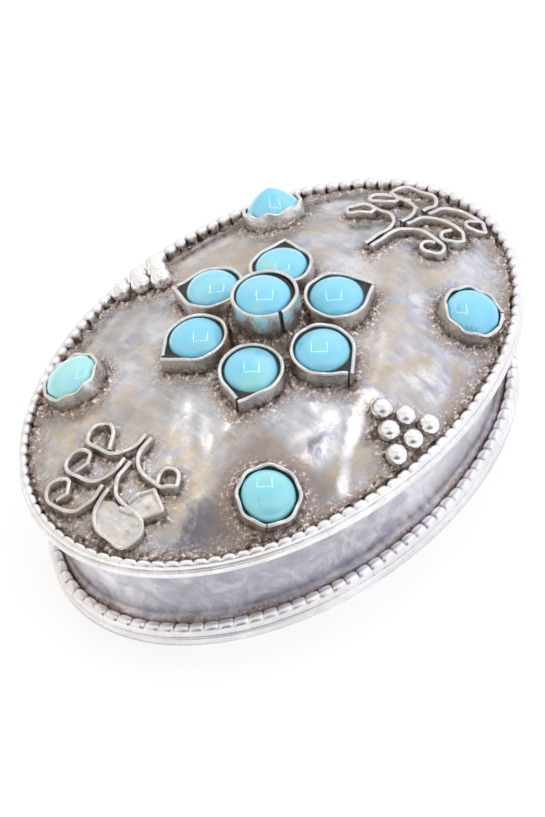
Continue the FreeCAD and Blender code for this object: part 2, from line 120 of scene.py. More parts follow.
def add_piece(name, skins, body, slot, finish, *nodes):
    """Joins skins in one mesh, which stands for the named nodes of the frame and rides on a body."""
    counts = np.cumsum([0] + [len(part["points"]) for part in skins])
    points = np.concatenate([part["points"] for part in skins])
    quads = np.concatenate([part["quads"] + count for part, count in zip(skins, counts)])
    fans = np.concatenate([part["fans"] + count for part, count in zip(skins, counts)])
    corners = np.concatenate([quads.ravel(), fans.ravel()]).astype(np.int32)
    sides = np.concatenate([np.full(len(quads), 4), np.full(len(fans), 3)])
    mesh = bpy.data.meshes.new(name)
    mesh.vertices.add(len(points))
    mesh.vertices.foreach_set("co", (points * MM).astype(np.float32).ravel())
    mesh.loops.add(len(corners))
    mesh.loops.foreach_set("vertex_index", corners)
    mesh.polygons.add(len(sides))
    mesh.polygons.foreach_set("loop_start", (np.cumsum(sides) - sides).astype(np.int32))
    mesh.polygons.foreach_set("use_smooth", np.ones(len(sides), bool))
    mesh.update(calc_edges=True)
    mesh.set_sharp_from_angle(angle=SHARP)
    for mark in skins[0]["marks"]:
        values = np.concatenate([part["marks"][mark] for part in skins])
        mesh.attributes.new(mark, "FLOAT", "POINT").data.foreach_set("value", values.astype(np.float32))
    mesh.materials.append(finish)
    piece = bpy.data.objects.new(name, mesh)
    bpy.context.scene.collection.objects.link(piece)
    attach(piece, body)
    if nodes:
        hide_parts(*nodes)
    made.append((name, len(quads) * 2 + len(fans), sum(part["volume"] for part in skins)))


def report(what, since):
    """Prints how many pieces and triangles were made since a count."""
    new = made[since:]
    print(what, len(new), "pieces,", sum(row[1] for row in new), "triangles,",
          round(sum(row[2] for row in new), 1), "mm3")


report("to begin with:", 0)

# %% [markdown]
# ## The unevenness of hand work
#
# A hammered dome, a filed rim and a puddle of solder all wander a little. Random numbers per point would
# give grit instead of waves, so the wandering is a sum of a few sine waves that run in all directions.
# It is smooth, it has a wavelength in millimetres, and with a fixed seed it is the same on every run.

# %% Waves
WAVES = 14
LENGTH_SPREAD = (0.65, 1.6)


def wander(points, wavelength, seed):
    """Sum of sine waves in random directions, lengths and phases, over the root of their number."""
    draw = np.random.default_rng(seed)
    ways = draw.normal(size=(WAVES, points.shape[-1]))
    ways /= np.linalg.norm(ways, axis=1, keepdims=True)
    lengths = wavelength * draw.uniform(*LENGTH_SPREAD, WAVES)
    phases = draw.uniform(0, 2 * math.pi, WAVES)
    total = sum(np.sin(points @ way * (2 * math.pi / length) + phase)
                for way, length, phase in zip(ways, lengths, phases))
    return total / math.sqrt(WAVES)


def hump(gap, width):
    """A bell over a gap of zero: exp(-(gap / width)^2)."""
    return np.exp(-(gap / width) ** 2)


def near(gap, width):
    """A bell that is one inside a foot, where the gap is negative, and fades outside it."""
    return hump(np.maximum(gap, 0), width)


sample = wander(np.linspace(0, 100, 1001)[:, None], wavelength=5.0, seed=0)
print("wandering over 100 mm: from", round(float(sample.min()), 2), "to", round(float(sample.max()), 2))

# %% [markdown]
# ## The dome and the seats on it
#
# The lid's sheet is a cap of an ellipsoid. Its foot and its top come from the frame, and one more size,
# how far the ellipsoid's centre lies below the foot, gives the curvature. Every ornament stands square on
# that surface, so a seat is a point of the dome with three axes: ahead, left, and out along the normal.
# A Shrinkwrap modifier could drop the ornaments on the sheet, but the formula gives place and normal at
# once. The sheet's foot is let out a little towards the beading, as solder would fill that gap.

# %% Ellipsoid and seats
DOME_DEPTH = 5.2
DOME_GAUGE = 0.8
FOOT_CREEP = 0.35
dome_low, dome_high = span("lid_dome")
dome_half = dome_high[:2] + FOOT_CREEP
rim_top = dome_low[2]
dome_centre = np.array([0, 0, rim_top - DOME_DEPTH])
dome_height = dome_high[2] - dome_centre[2]
dome_axes = np.append(dome_half / math.sqrt(1 - (DOME_DEPTH / dome_height) ** 2), dome_height)


def on_dome(x, y, growth=0.0):
    """Points of the dome over (x, y), larger by growth: z from x2/a2 + y2/b2 + z2/c2 = 1."""
    a, b, c = dome_axes + growth
    rise = c * np.sqrt(np.maximum(1 - (x / a) ** 2 - (y / b) ** 2, 0))
    return np.stack([x, y, dome_centre[2] + rise], -1)


def dome_normal(points):
    """Outward normals, (x/a2, y/b2, z/c2) made one long."""
    slope = (points - dome_centre) / dome_axes ** 2
    return slope / np.linalg.norm(slope, axis=-1, keepdims=True)


def seat(x, y, bearing):
    """Place on the dome over (x, y), and its axes as rows: towards a bearing, to its left, and outwards."""
    origin = on_dome(np.float64(x), np.float64(y))
    normal = dome_normal(origin)
    turn = math.radians(bearing)
    left = np.cross(normal, [math.cos(turn), math.sin(turn), 0])
    left /= np.linalg.norm(left)
    return origin, np.stack([np.cross(left, normal), left, normal])


def placed(x, y, z, where):
    """Points given along the axes of a seat, moved to the frame of the box."""
    origin, axes = where
    return origin + np.stack(np.broadcast_arrays(x, y, z), -1) @ axes


def floor_under(x, y, where):
    """Height of the dome along a seat's normal: the upper root of |q + h n| = 1 in the unit sphere."""
    _, axes = where
    point = (placed(x, y, 0.0, where) - dome_centre) / dome_axes
    normal = axes[2] / dome_axes
    square, cross, rest = normal @ normal, point @ normal, (point ** 2).sum(-1) - 1
    return (-cross + np.sqrt(np.maximum(cross ** 2 - square * rest, 0))) / square


print("dome half axes", dome_axes.round(2), "mm, foot at", round(float(rim_top), 2))

# %% [markdown]
# ## Where the ornaments stand
#
# The flower is a ring of six settings round a taller one, four more stones stand near the corners, and
# two pyramids of grains lie front and back. The middle of a node's box would be close to each place, but
# it doesn't say which way a tilted setting looks, so the places are worked out from the few sizes that
# drive them. The dome needs them first, because solder and dirt gather round every ornament. The smith set
# them by eye, so some petals are twisted about their stones, and the corner stones and the grains have
# slipped by half a millimetre or so.

# %% Layout of the settings
GAUGE = 0.3
PETAL_RADIUS, PETAL_TIP, PETAL_RING, PETAL_HEIGHT = 3.0, 3.95, 6.55, 2.0
FIRST_PETAL, PETAL_STEP = 30, 60
CENTRE_RADIUS, CENTRE_HEIGHT, CENTRE_SEAM = 3.1, 4.4, -106
CORNER_RADIUS, CORNER_HEIGHT, CORNER_PLACE = 3.05, 1.6, (13.36, 11.43)
CORNER_SIDES = ((1, 1), (-1, 1), (-1, -1), (1, -1))
TALL_STONE, FRONT_STONE = 1, 3  # numbers of two of the corner stones
GRAIN_PITCH, GRAIN_ROWS, FIRST_GRAIN, GRAIN_ROW = 2.2, 3, 13.28, 1.616

PETAL_TWIST = (8, 28, 18, -4, -4, 6)
CORNER_SLIP = ((0.1, 0.3), (-0.45, 0.05), (-0.3, -0.5), (0.4, -0.45))
GRAIN_GROUPS = {"front_grains": (-1, (-0.45, -0.3)), "back_grains": (1, (0.0, 0.2))}  # side and slip

petals = []
for number, twist in enumerate(PETAL_TWIST):
    bearing = FIRST_PETAL + PETAL_STEP * number
    turn = math.radians(bearing)
    petals.append(seat(PETAL_RING * math.cos(turn), PETAL_RING * math.sin(turn), bearing + twist))
centre = seat(0, 0, CENTRE_SEAM)
corners = []
for (side_x, side_y), slip in zip(CORNER_SIDES, CORNER_SLIP):
    x, y = side_x * CORNER_PLACE[0] + slip[0], side_y * CORNER_PLACE[1] + slip[1]
    corners.append(seat(x, y, math.degrees(math.atan2(y, x))))
grains = {}
for name, (side, slip) in GRAIN_GROUPS.items():
    spots = [((k - row / 2) * GRAIN_PITCH, side * (FIRST_GRAIN + GRAIN_ROW * row))
             for row in range(GRAIN_ROWS) for k in range(row + 1)]
    grains[name] = [seat(x + slip[0], y + slip[1], 0) for x, y in spots]
print(len(petals), "petals,", len(corners), "corners,", sum(map(len, grains.values())), "grains")

# %% [markdown]
# ## Ribbon paths
#
# Each palmette is six lengths of flat wire, bent on edge with pliers: a run, a bend away from the stem,
# and a loop that was nipped shut, often with a kink. A path is written as the smith would say it, as runs
# and bends. The bends give the rate of turning along the wire, which is summed once for the heading and
# once more for the place, so no corner has to be worked out by hand.

# %% Runs and bends
STEP = 0.07
BEND, RISE, RISE_LOSS, STEM_OFFSET, STEM = 2.2, 1.64, 0.1, 0.36, 1.1
REACH, REACH_STEP = 19.1, 3.0
ROOTS = {"left": 0.9, "right": 3.1}
WAVER_LENGTH, RIBBON_WAVER, RIBBON_SEED = 2.4, 0.07, 40
ROUND = [(1.12, 150), (0.88, 200)]
TEARDROP = [(1.2, 240), (1.75, 0)]
KINKED = [(1.2, 190), (0.4, 52), (1.0, 0), (0.12, 48), (1.0, 0)]
SQUARE = [(1.5, 50), (0.8, 0), (0.5, 85), (0.4, 0), (0.4, 85), (1.8, 0), (0.12, 85), (0.6, 0)]
CORNERED = [(0.5, 42), (1.1, 0), (0.15, 78), (0.6, 0), (0.9, 175), (0.8, 0)]
KITE = [(0.3, 0), (0.7, 46), (1.5, 0), (0.12, 94), (1.9, 0), (0.15, 92), (1.2, 0), (0.15, 46), (1.1, 0)]
WIDE = [(1.5, 200), (1.1, 0)]
ENDINGS = {
    ("left", "back"): (TEARDROP, KINKED, KINKED),
    ("left", "front"): (CORNERED, KITE, WIDE),
    ("right", "back"): (SQUARE, SQUARE, WIDE),
    ("right", "front"): (ROUND, CORNERED, CORNERED),
}


def bent_path(start, heading, moves, waver, seed):
    """Points and headings along runs (length, 0) and bends (radius, degrees): curvature summed twice.
    The heading wavers by an angle, as wire does in pliers."""
    lengths = np.array([size * math.radians(abs(turn)) if turn else size for size, turn in moves])
    rates = np.array([math.copysign(1 / size, turn) if turn else 0.0 for size, turn in moves])
    ends = np.cumsum(lengths)
    count = int(math.ceil(ends[-1] / STEP))
    step = ends[-1] / count
    middle = (np.arange(count) + 0.5) * step
    rate = rates[np.minimum(np.searchsorted(ends, middle), len(moves) - 1)]
    angle = heading + np.concatenate([[0], np.cumsum(rate * step)])
    along = np.arange(count + 1) * step
    angle = angle + waver * wander(along[:, None], WAVER_LENGTH, seed)
    between = (angle[1:] + angle[:-1]) / 2
    moved = np.stack([np.cos(between), np.sin(between)], -1) * step
    points = np.asarray(start) + np.concatenate([[[0, 0]], np.cumsum(moved, 0)])
    return points, angle, along


scrolls = {}
for end, out in (("left", -1), ("right", 1)):
    for side_name, side in (("back", 1), ("front", -1)):
        for k, ending in enumerate(ENDINGS[end, side_name]):
            stem = ROOTS[end] if k == 0 else STEM
            rise = RISE - RISE_LOSS * k
            start = (out * (REACH + REACH_STEP * k - BEND - stem), side * STEM_OFFSET)
            heading = 0 if out > 0 else math.pi
            crook = [(stem, 0), (BEND, 90), (rise, 0)]
            moves = [(size, turn * out * side) for size, turn in crook + ending]
            path = bent_path(start, heading, moves, RIBBON_WAVER, RIBBON_SEED + len(scrolls))
            crook_length = stem + BEND * math.pi / 2 + rise
            scrolls[f"{end}_{side_name}_scroll_{k + 1}"] = (*path, crook_length)
print(len(scrolls), "ribbons,", round(sum(path[2][-1] for path in scrolls.values())), "mm of wire")

# %% [markdown]
# ## Nodes in few words
#
# A finish is a tree of nodes. It could be put together by hand in the shader editor, but a tree in code
# can be read, repeated and given other colours. Two small classes keep that short: one makes the kinds of
# node that this box needs, and the other adds a material, with sizes in millimetres.

# %% Node helpers


class NodeTree:
    """The tree of a material or a world, and the few kinds of node that it needs."""

    def __init__(self, owner):
        owner.use_nodes = True
        self.tree = owner.node_tree

    def node(self, kind, inputs=None, **settings):
        """A node with its settings, and its sockets linked or set, by name or by number."""
        made_node = self.tree.nodes.new(kind)
        for name, value in settings.items():
            setattr(made_node, name, value)
        for name, value in (inputs or {}).items():
            self.put(made_node.inputs[name], value)
        return made_node

    def put(self, socket, value):
        """Links a socket, or sets its value."""
        if isinstance(value, bpy.types.NodeSocket):
            self.tree.links.new(value, socket)
        else:
            socket.default_value = value

    def fade(self, value, low, high, start=0.0, stop=1.0):
        """Start below low, stop above high, and a straight change between."""
        inputs = {"Value": value, "From Min": low, "From Max": high, "To Min": start, "To Max": stop}
        return self.node("ShaderNodeMapRange", inputs, clamp=True).outputs["Result"]

    def reckon(self, operation, first, second):
        """One step of arithmetic."""
        return self.node("ShaderNodeMath", {0: first, 1: second}, operation=operation).outputs["Value"]

    def blend(self, share, under, over):
        """One colour over another."""
        under, over = ((*colour, 1.0) if isinstance(colour, tuple) else colour for colour in (under, over))
        return self.node("ShaderNodeMix", {0: share, 6: under, 7: over}, data_type="RGBA").outputs[2]


class Finish(NodeTree):
    """A material whose patterns lie still on its piece."""

    def __init__(self, name):
        self.material = bpy.data.materials.new(name)
        super().__init__(self.material)
        self.shader = self.tree.nodes["Principled BSDF"]
        self.place = self.node("ShaderNodeTexCoord").outputs["Object"]

    def shade(self, **sockets):
        """Sets or links sockets of the shader, named with underscores."""
        for name, value in sockets.items():
            self.put(self.shader.inputs[name.replace("_", " ")], value)

    def noise(self, size, detail, coarseness, twist=0.0, stretch=(1, 1, 1), shift=0.0):
        """Noise whose lumps are about a size in millimetres."""
        scale = [factor / (size * MM) for factor in stretch]
        mapping = {"Vector": self.place, "Scale": scale, "Location": (shift,) * 3}
        mapped = self.node("ShaderNodeMapping", mapping).outputs["Vector"]
        inputs = {"Vector": mapped, "Scale": 1.0, "Detail": detail, "Roughness": coarseness,
                  "Distortion": twist}
        return self.node("ShaderNodeTexNoise", inputs).outputs["Fac"]

    def mark(self, name):
        """A value that was stored on the points of the piece."""
        return self.node("ShaderNodeAttribute", attribute_name=name).outputs["Fac"]

    def frayed(self, value, noise, amount, low=0.3, high=0.7):
        """A value that a noise moves up and down by an amount."""
        return self.reckon("ADD", value, self.fade(noise, low, high, -amount, amount))

    def bump(self, height, distance, under=None):
        """Relief of a distance in millimetres, over another relief if there is one."""
        inputs = {"Height": height, "Distance": distance * MM, "Strength": 1.0}
        if under is not None:
            inputs["Normal"] = under
        return self.node("ShaderNodeBump", inputs).outputs["Normal"]


print("helpers:", [name for kind in (NodeTree, Finish) for name in vars(kind) if name[0] != "_"])

# %% [markdown]
# ## Silver
#
# Old silver is not one colour. The clean metal is nearly white, sulphur turns it yellow, brown and at
# last blue-black, and handling rubs the high places bright again. A flat grey would look like plastic, so
# one function mixes these films: clouds of tarnish, a warm and a cool film, and dirt where the wear mark
# is low, with pale specks in it that are painted glints. The same clouds drive the roughness, so that a
# bright patch is also a smooth one. The dome and the wall carry more marks, for grey patina, brown stains
# and a painted highlight, whose edges the noise frays. On the outside of the wall the patina mark is a
# painted dark reflection, darkest on the side towards the camera.

# %% Silver finishes
# Colour of pale specks in the dirt: painted glints off its grains.
PAINTED_SPECK_GLINT = (0.86, 0.77, 0.70)
# Near-white colour of the painted highlight on the front of the dome.
PAINTED_HIGHLIGHT_COLOUR = (0.98, 0.97, 0.95)
SCRATCH = 0.006


def shaded(colour, share):
    """A colour at a share of its lightness."""
    return tuple(share * part for part in colour)


def marked_films(finish, colour, film, patina, mottle, patches, stains, streaks):
    """The films that the piece's own marks ask for: patina, then stain, then a painted highlight over the
    colour. On the wall's outside the patina mark is a painted dark reflection.
    """
    edge = finish.frayed(finish.frayed(finish.mark("patina"), stains, 0.3), streaks, 0.15)
    shade = finish.blend(finish.fade(mottle, 0.35, 0.65), shaded(patina, 0.75), patina)
    colour = finish.blend(finish.fade(edge, 0.3, 0.62, 0, 0.85), colour, shade)
    stain = finish.frayed(finish.frayed(finish.mark("stain"), patches, 0.32), streaks, 0.2)
    colour = finish.blend(finish.fade(stain, 0.3, 0.85, 0, 0.75), colour, shaded(film, 0.85))
    shine = finish.fade(finish.frayed(finish.mark("shine"), streaks, 0.2), 0.25, 0.7)
    return finish.blend(shine, colour, PAINTED_HIGHLIGHT_COLOUR), shine


def silver_finish(name, clean, dulling, film, warm, cool, cloud, rough, grit, patina=None):
    """Silver under clouds of tarnish. Clean, film, warm, cool and patina are colours, and dulling is the
    share of the clean colour that is left in a cloud. Cloud is a size in millimetres, rough the roughness
    of clean metal, and grit the relief of the dirt in millimetres."""
    finish = Finish(name)
    clouds = finish.noise(cloud, detail=9.0, coarseness=0.66, twist=0.5)
    patches = finish.noise(1.1 * cloud, detail=6.0, coarseness=0.6, twist=0.9, shift=7.3)
    stains = finish.noise(0.6 * cloud, detail=7.0, coarseness=0.65, twist=1.2, shift=3.1)
    fine = finish.noise(0.42, detail=4.0, coarseness=0.65)
    speck = finish.noise(0.34, detail=1.0, coarseness=0.5, shift=1.7)
    lines = finish.noise(0.5, detail=4.0, coarseness=0.6, twist=0.2, stretch=(0.12, 1, 1), shift=5.9)
    streaks = finish.noise(1.1, detail=5.0, coarseness=0.6, twist=0.4, stretch=(1, 0.22, 1), shift=8.8)
    mottle = finish.frayed(clouds, streaks, 0.17, 0.25, 0.75)
    colour = finish.blend(finish.fade(mottle, 0.34, 0.66), shaded(clean, dulling), clean)
    colour = finish.blend(finish.fade(patches, 0.46, 0.66, 0, 0.85), colour, warm)
    colour = finish.blend(finish.fade(stains, 0.52, 0.66, 0, 0.8), colour, cool)
    if patina:
        colour, shine = marked_films(finish, colour, film, patina, mottle, patches, stains, streaks)
    uneven = finish.frayed(finish.mark("wear"), fine, 0.32, 0.25, 0.75)
    dirt = finish.fade(uneven, 0.1, 0.7, 1.0, 0.0)
    deep = finish.fade(uneven, -0.1, 0.22, 0.85, 0.0)
    # Pale specks in the crust are painted glints.
    crust_with_painted_glints = finish.blend(finish.fade(speck, 0.56, 0.64), film, PAINTED_SPECK_GLINT)
    crust_with_painted_glints = finish.blend(deep, crust_with_painted_glints, shaded(film, 0.3))
    colour = finish.blend(dirt, colour, crust_with_painted_glints)
    haze = finish.frayed(finish.fade(clouds, 0.3, 0.7, 0.14, -0.06), lines, 0.05)
    roughness = finish.reckon("ADD", finish.reckon("ADD", haze, rough), finish.reckon("MULTIPLY", dirt, 0.1))
    if patina:
        roughness = finish.reckon("SUBTRACT", roughness, finish.reckon("MULTIPLY", shine, 0.1))
    relief = finish.bump(finish.reckon("MULTIPLY", fine, dirt), grit)
    relief = finish.bump(lines, SCRATCH, relief)
    finish.shade(Base_Color=colour, Metallic=1.0, Roughness=roughness, Normal=relief)
    return finish.material


sheet_silver = silver_finish(
    "tarnished_sheet_silver", clean=(0.665, 0.655, 0.665), dulling=0.6, film=(0.33, 0.26, 0.225),
    warm=(0.58, 0.48, 0.35), cool=(0.42, 0.43, 0.52), cloud=5.5, rough=0.23, grit=0.2,
    patina=(0.17, 0.18, 0.22))
# On the wall's outside the patina colour is laid as a painted dark reflection, darkest towards the camera.
wall_silver = silver_finish(
    "wall_silver", clean=(0.88, 0.87, 0.92), dulling=0.66, film=(0.52, 0.41, 0.34),
    warm=(0.75, 0.70, 0.70), cool=(0.64, 0.64, 0.73), cloud=5.0, rough=0.33, grit=0.06,
    patina=(0.49, 0.49, 0.56))
bead_silver = silver_finish(
    "beaded_wire_silver", clean=(0.97, 0.96, 0.97), dulling=0.86, film=(0.34, 0.275, 0.24),
    warm=(0.84, 0.79, 0.72), cool=(0.78, 0.78, 0.83), cloud=4.0, rough=0.24, grit=0.08)
grain_silver = silver_finish(
    "grain_silver", clean=(0.97, 0.965, 0.96), dulling=0.9, film=(0.28, 0.225, 0.195),
    warm=(0.90, 0.86, 0.80), cool=(0.86, 0.86, 0.89), cloud=2.0, rough=0.19, grit=0.08)
strip_silver = silver_finish(
    "bezel_strip_silver", clean=(0.84, 0.825, 0.80), dulling=0.8, film=(0.24, 0.19, 0.16),
    warm=(0.72, 0.66, 0.57), cool=(0.64, 0.64, 0.67), cloud=3.0, rough=0.22, grit=0.08)
pool_silver = silver_finish(
    "solder_pool_silver", clean=(0.84, 0.82, 0.80), dulling=0.82, film=(0.58, 0.48, 0.40),
    warm=(0.78, 0.70, 0.62), cool=(0.74, 0.72, 0.73), cloud=1.2, rough=0.42, grit=0.1)
print("nodes in the sheet's finish:", len(sheet_silver.node_tree.nodes))

# %% [markdown]
# ## Turquoise and cement
#
# Turquoise is a waxy, opaque stone. Its blue drifts towards green in soft clouds, and some stones carry a
# few dark threads of the rock that it grew in. A thin clear polish lies over it, so a coat gives the sharp
# highlight and the body below stays soft. The stones sit in a dark cement that was pressed in as a paste.

# %% Stone and cement finishes


def turquoise_finish(name, blue, green, greenness, veins=0, vein=(0.05, 0.17, 0.19)):
    """Clouds of two blues and a green, with dark threads where a stretched noise is close to its middle.
    Greenness widens the green clouds, and veins, where it isn't zero, picks the threads' place."""
    finish = Finish(name)
    clouds = finish.noise(2.6, detail=4.0, coarseness=0.5, twist=0.4)
    drift = finish.noise(3.6, detail=3.0, coarseness=0.5, shift=4.4)
    pale = tuple(0.8 * part + 0.18 for part in blue)
    colour = finish.blend(finish.fade(clouds, 0.35, 0.7, 0, 0.7), blue, pale)
    colour = finish.blend(finish.fade(drift, 0.66 - greenness, 0.86 - greenness), colour, green)
    if veins:
        thread = finish.noise(1.9, detail=5.0, coarseness=0.62, twist=1.4, stretch=(1, 1.6, 1),
                              shift=2.2 * veins)
        patch = finish.noise(2.8, detail=2.0, coarseness=0.5, shift=9.1 * veins)
        off_middle = finish.reckon("ABSOLUTE", finish.reckon("SUBTRACT", thread, 0.5), 0.0)
        line = finish.fade(off_middle, 0.004, 0.022, 1, 0)
        colour = finish.blend(finish.reckon("MULTIPLY", line, finish.fade(patch, 0.6, 0.68)), colour, vein)
    dimple = finish.bump(finish.noise(1.4, detail=2.0, coarseness=0.4, shift=6.0), 0.02)
    finish.shade(Base_Color=colour, Roughness=0.3, Coat_Weight=0.9, Coat_Roughness=0.02, Coat_IOR=1.9,
                 Subsurface_Weight=0.08, Subsurface_Scale=0.6 * MM, Subsurface_Radius=(0.5, 0.9, 1.0),
                 Normal=dimple)
    return finish.material


SKY, SEA = (0.175, 0.72, 0.97), (0.31, 0.82, 0.82)
turquoises = {
    "sky": turquoise_finish("turquoise_sky_blue", SKY, SEA, greenness=0.1),
    "drift": turquoise_finish("turquoise_drifting_to_green", SKY, SEA, greenness=0.2),
    "threaded": turquoise_finish("turquoise_with_threads", SKY, SEA, greenness=0.05, veins=1),
    "sea": turquoise_finish("turquoise_sea_green", (0.24, 0.80, 0.89), (0.28, 0.78, 0.74), greenness=0.14,
                            veins=2, vein=(0.06, 0.06, 0.045)),
    "pale": turquoise_finish("turquoise_pale_green", (0.34, 0.86, 0.92), (0.40, 0.88, 0.84), greenness=0.18),
}


def cement_finish():
    """Dark paste with paler grains."""
    finish = Finish("dark_setting_cement")
    lumps = finish.noise(0.9, detail=5.0, coarseness=0.6)
    grain = finish.noise(0.18, detail=3.0, coarseness=0.6)
    colour = finish.blend(finish.fade(lumps, 0.35, 0.7), (0.035, 0.028, 0.026), (0.085, 0.07, 0.065))
    colour = finish.blend(finish.fade(grain, 0.62, 0.74, 0, 0.5), colour, (0.2, 0.17, 0.15))
    relief = finish.bump(grain, 0.05)
    finish.shade(Base_Color=colour, Roughness=finish.fade(lumps, 0.3, 0.7, 0.75, 0.5), Normal=relief)
    return finish.material


cement = cement_finish()
print("stone finishes:", len(turquoises), "and", cement.name)

# %% [markdown]
# ## The base plate
#
# The base plate, the wall, the lid's rim and its collar are all a profile carried round an oval. A cylinder
# that is scaled would do for the outline, but its corners would be knife sharp. Here the profile has its
# own rounded corners. The plate is filled by rings that shrink towards its middle, because a single flat
# face would have no points to carry the wear mark, which is higher on the bright edge.

# %% Ovals and the base plate
AROUND, LENGTH_STEPS = 360, 4000
PLATE_ROUND, PLATE_BREAK, EDGE_POINTS = 0.22, 0.06, 6
PLATE_HEART, PLATE_STEPS = 0.6, (18.0, 9.0, 3.0)
PLATE_WEAR, EDGE_WEAR, EDGE_SHARE = 0.62, 0.38, 0.96


def oval_turn(half, count):
    """Angles that cut an oval into equal lengths: the running length of the curve, read backwards.
    The whole length comes with them."""
    fine = np.linspace(0, 2 * math.pi, LENGTH_STEPS + 1)
    steps = np.hypot(np.diff(half[0] * np.cos(fine)), np.diff(half[1] * np.sin(fine)))
    length = np.concatenate([[0], np.cumsum(steps)])
    return np.interp(np.linspace(0, length[-1], count, endpoint=False), length, fine), length[-1]


def round_oval(half, turn, growth, level):
    """Points of an oval that is larger by growth, at a level: ((a + g) cos t, (b + g) sin t, z)."""
    x = (half[0] + growth) * np.cos(turn)
    y = (half[1] + growth) * np.sin(turn)
    return np.stack(np.broadcast_arrays(x, y, level), -1)


start_count = len(made)
_, base_high = span("base_plate")
turn, _ = oval_turn(base_high[:2], AROUND)
quarter = np.linspace(0, math.pi / 2, EDGE_POINTS)
inward = [PLATE_HEART - base_high[0]] + [-step for step in PLATE_STEPS]
lower = [(growth, 0.0) for growth in inward] + [(-PLATE_BREAK, 0.0), (0.0, PLATE_BREAK)]
edge = PLATE_ROUND * np.stack([np.cos(quarter) - 1, np.sin(quarter) - 1], -1) + (0, base_high[2])
upper = [(growth, base_high[2]) for growth in inward[::-1]]
plate_profile = np.concatenate([lower, edge, upper])
plate_share = 1 + plate_profile[:, :1] / base_high[0]
plate_x, plate_y = base_high[0] * plate_share * np.cos(turn), base_high[1] * plate_share * np.sin(turn)
plate_rings = np.stack(np.broadcast_arrays(plate_x, plate_y, plate_profile[:, 1:]), -1)
plate_skin = skin(plate_rings, wear=PLATE_WEAR + EDGE_WEAR * (plate_share > EDGE_SHARE))
add_piece("base_plate_sheet", [plate_skin], "base", "sheet_silver", bead_silver, "base_plate")
report("base plate:", start_count)

# %% [markdown]
# ## The wall
#
# The wall is a band of sheet, bent to an oval and soldered upright on the plate. A band that is extruded
# from the oval would be dead true, and a soldered one never is. So its outer side gets a few slow waves, a
# lumpy seam of solder and a fillet at the foot. Dirt stays on the fillet. The front left, which looks
# towards the camera, is greyer than the rest: a painted dark reflection, carried by the patina mark.

# %% Side wall
WALL_GAUGE, WALL_ROWS = 0.7, 40
WALL_WAVE, WALL_WAVELENGTH = 0.07, 8.0
SEAM_HEIGHT, SEAM_WIDTH, SEAM_LUMP = 1.25, 0.32, 1.6
FILLET, FILLET_TOP, FILLET_RUN = 0.42, 1.45, 0.8
DIRT_TOP, DIRT_RUN, DIRT_WAVE, DIRT_WAVELENGTH = 0.75, 0.7, 0.21, 4.0
DARKEST_WEAR = 0.22
FRONT_DARK_REFLECTION, INNER_PATINA = 0.68, 0.4
CAMERA_WAY = (-0.7, -0.71)


def facing(turn):
    """How far a side of the box looks towards the camera, along the way w: w . (cos t, sin t)."""
    return CAMERA_WAY[0] * np.cos(turn) + CAMERA_WAY[1] * np.sin(turn)


start_count = len(made)
wall_low, wall_high = span("side_wall")
wall_half = wall_high[:2]
turn, _ = oval_turn(wall_half, AROUND)
levels = wall_low[2] + np.linspace(0, 1, WALL_ROWS) * (wall_high[2] - wall_low[2])
growth = np.repeat([0.0, -WALL_GAUGE], WALL_ROWS)
level = np.concatenate([levels, levels[::-1]])
flat_wall = round_oval(wall_half, turn[:, None], growth, level)
outer = growth == 0
height = level - wall_low[2]
slack = np.sin(math.pi * np.clip(height / height.max(), 0, 1))
seam_lumps = 0.5 + 0.5 * wander(flat_wall * (1, 1, 0.5), SEAM_LUMP, seed=8)
seam = hump(height - SEAM_HEIGHT, SEAM_WIDTH) * seam_lumps
fillet = FILLET * np.clip((FILLET_TOP - height) / FILLET_RUN, 0, 1) ** 1.3
hollow = slack * (1 - wander(flat_wall, WALL_WAVELENGTH, seed=3))
shift = np.where(outer, WALL_WAVE * (seam - hollow) + fillet, 0)
wall_rings = round_oval(wall_half, turn[:, None], growth + shift, level)
dirt_edge = DIRT_TOP - DIRT_WAVE * wander(flat_wall * (1, 1, 0.2), DIRT_WAVELENGTH, seed=12)
wall_wear = np.clip((height - dirt_edge) / DIRT_RUN, DARKEST_WEAR, 1)
# The outside is darker towards the camera: a painted dark reflection, carried by the patina mark. The inside
# has one even value.
front = np.clip(facing(turn)[:, None], 0, 1) ** 3
wall_dark_reflection_and_patina = np.where(outer, FRONT_DARK_REFLECTION * front, INNER_PATINA)
wall_skin = skin(wall_rings, True, wear=wall_wear, patina=wall_dark_reflection_and_patina)
add_piece("side_wall_band", [wall_skin], "base", "sheet_silver", wall_silver, "side_wall")
report("wall:", start_count)

# %% [markdown]
# ## Rim plate and collar
#
# The lid's rim is a flat ring of sheet, and under it a low collar slides into the wall. Both could be cut
# from a solid oval with a boolean. As a ring only needs an outline and an opening, it is simply a box with
# soft corners, carried round. The opening is the wall's inside, less the clearance and the collar.

# %% Rim plate and collar
COLLAR_GAUGE, LID_CLEARANCE, COLLAR_ROUND = 0.6, 0.1, 0.12
CORNER_STEPS, BAND_WEAR = 5, 0.75


def soft_box(inner, outer, low, high, soft):
    """A profile of growth and level: a box with quarter circles at its corners, one point after another."""
    quarter = np.linspace(0, math.pi / 2, CORNER_STEPS)
    ring = []
    for k, (x, z) in enumerate(((outer, high), (inner, high), (inner, low), (outer, low))):
        turn = quarter + k * math.pi / 2
        centre_x = x - soft * (1 if k in (0, 3) else -1)
        centre_z = z - soft * (1 if k < 2 else -1)
        ring.append(np.stack([centre_x + soft * np.cos(turn), centre_z + soft * np.sin(turn)], -1))
    return np.concatenate(ring)


def oval_band(node, inner_half, soft):
    """Rings of a band between a node's own outline and an inner oval: a soft box carried round."""
    low, high = span(node)
    half = high[:2]
    turn, _ = oval_turn(half, AROUND)
    growth, level = soft_box(inner_half[0] - half[0], 0.0, low[2], high[2], soft).T
    return round_oval(half, turn[:, None], growth, level)


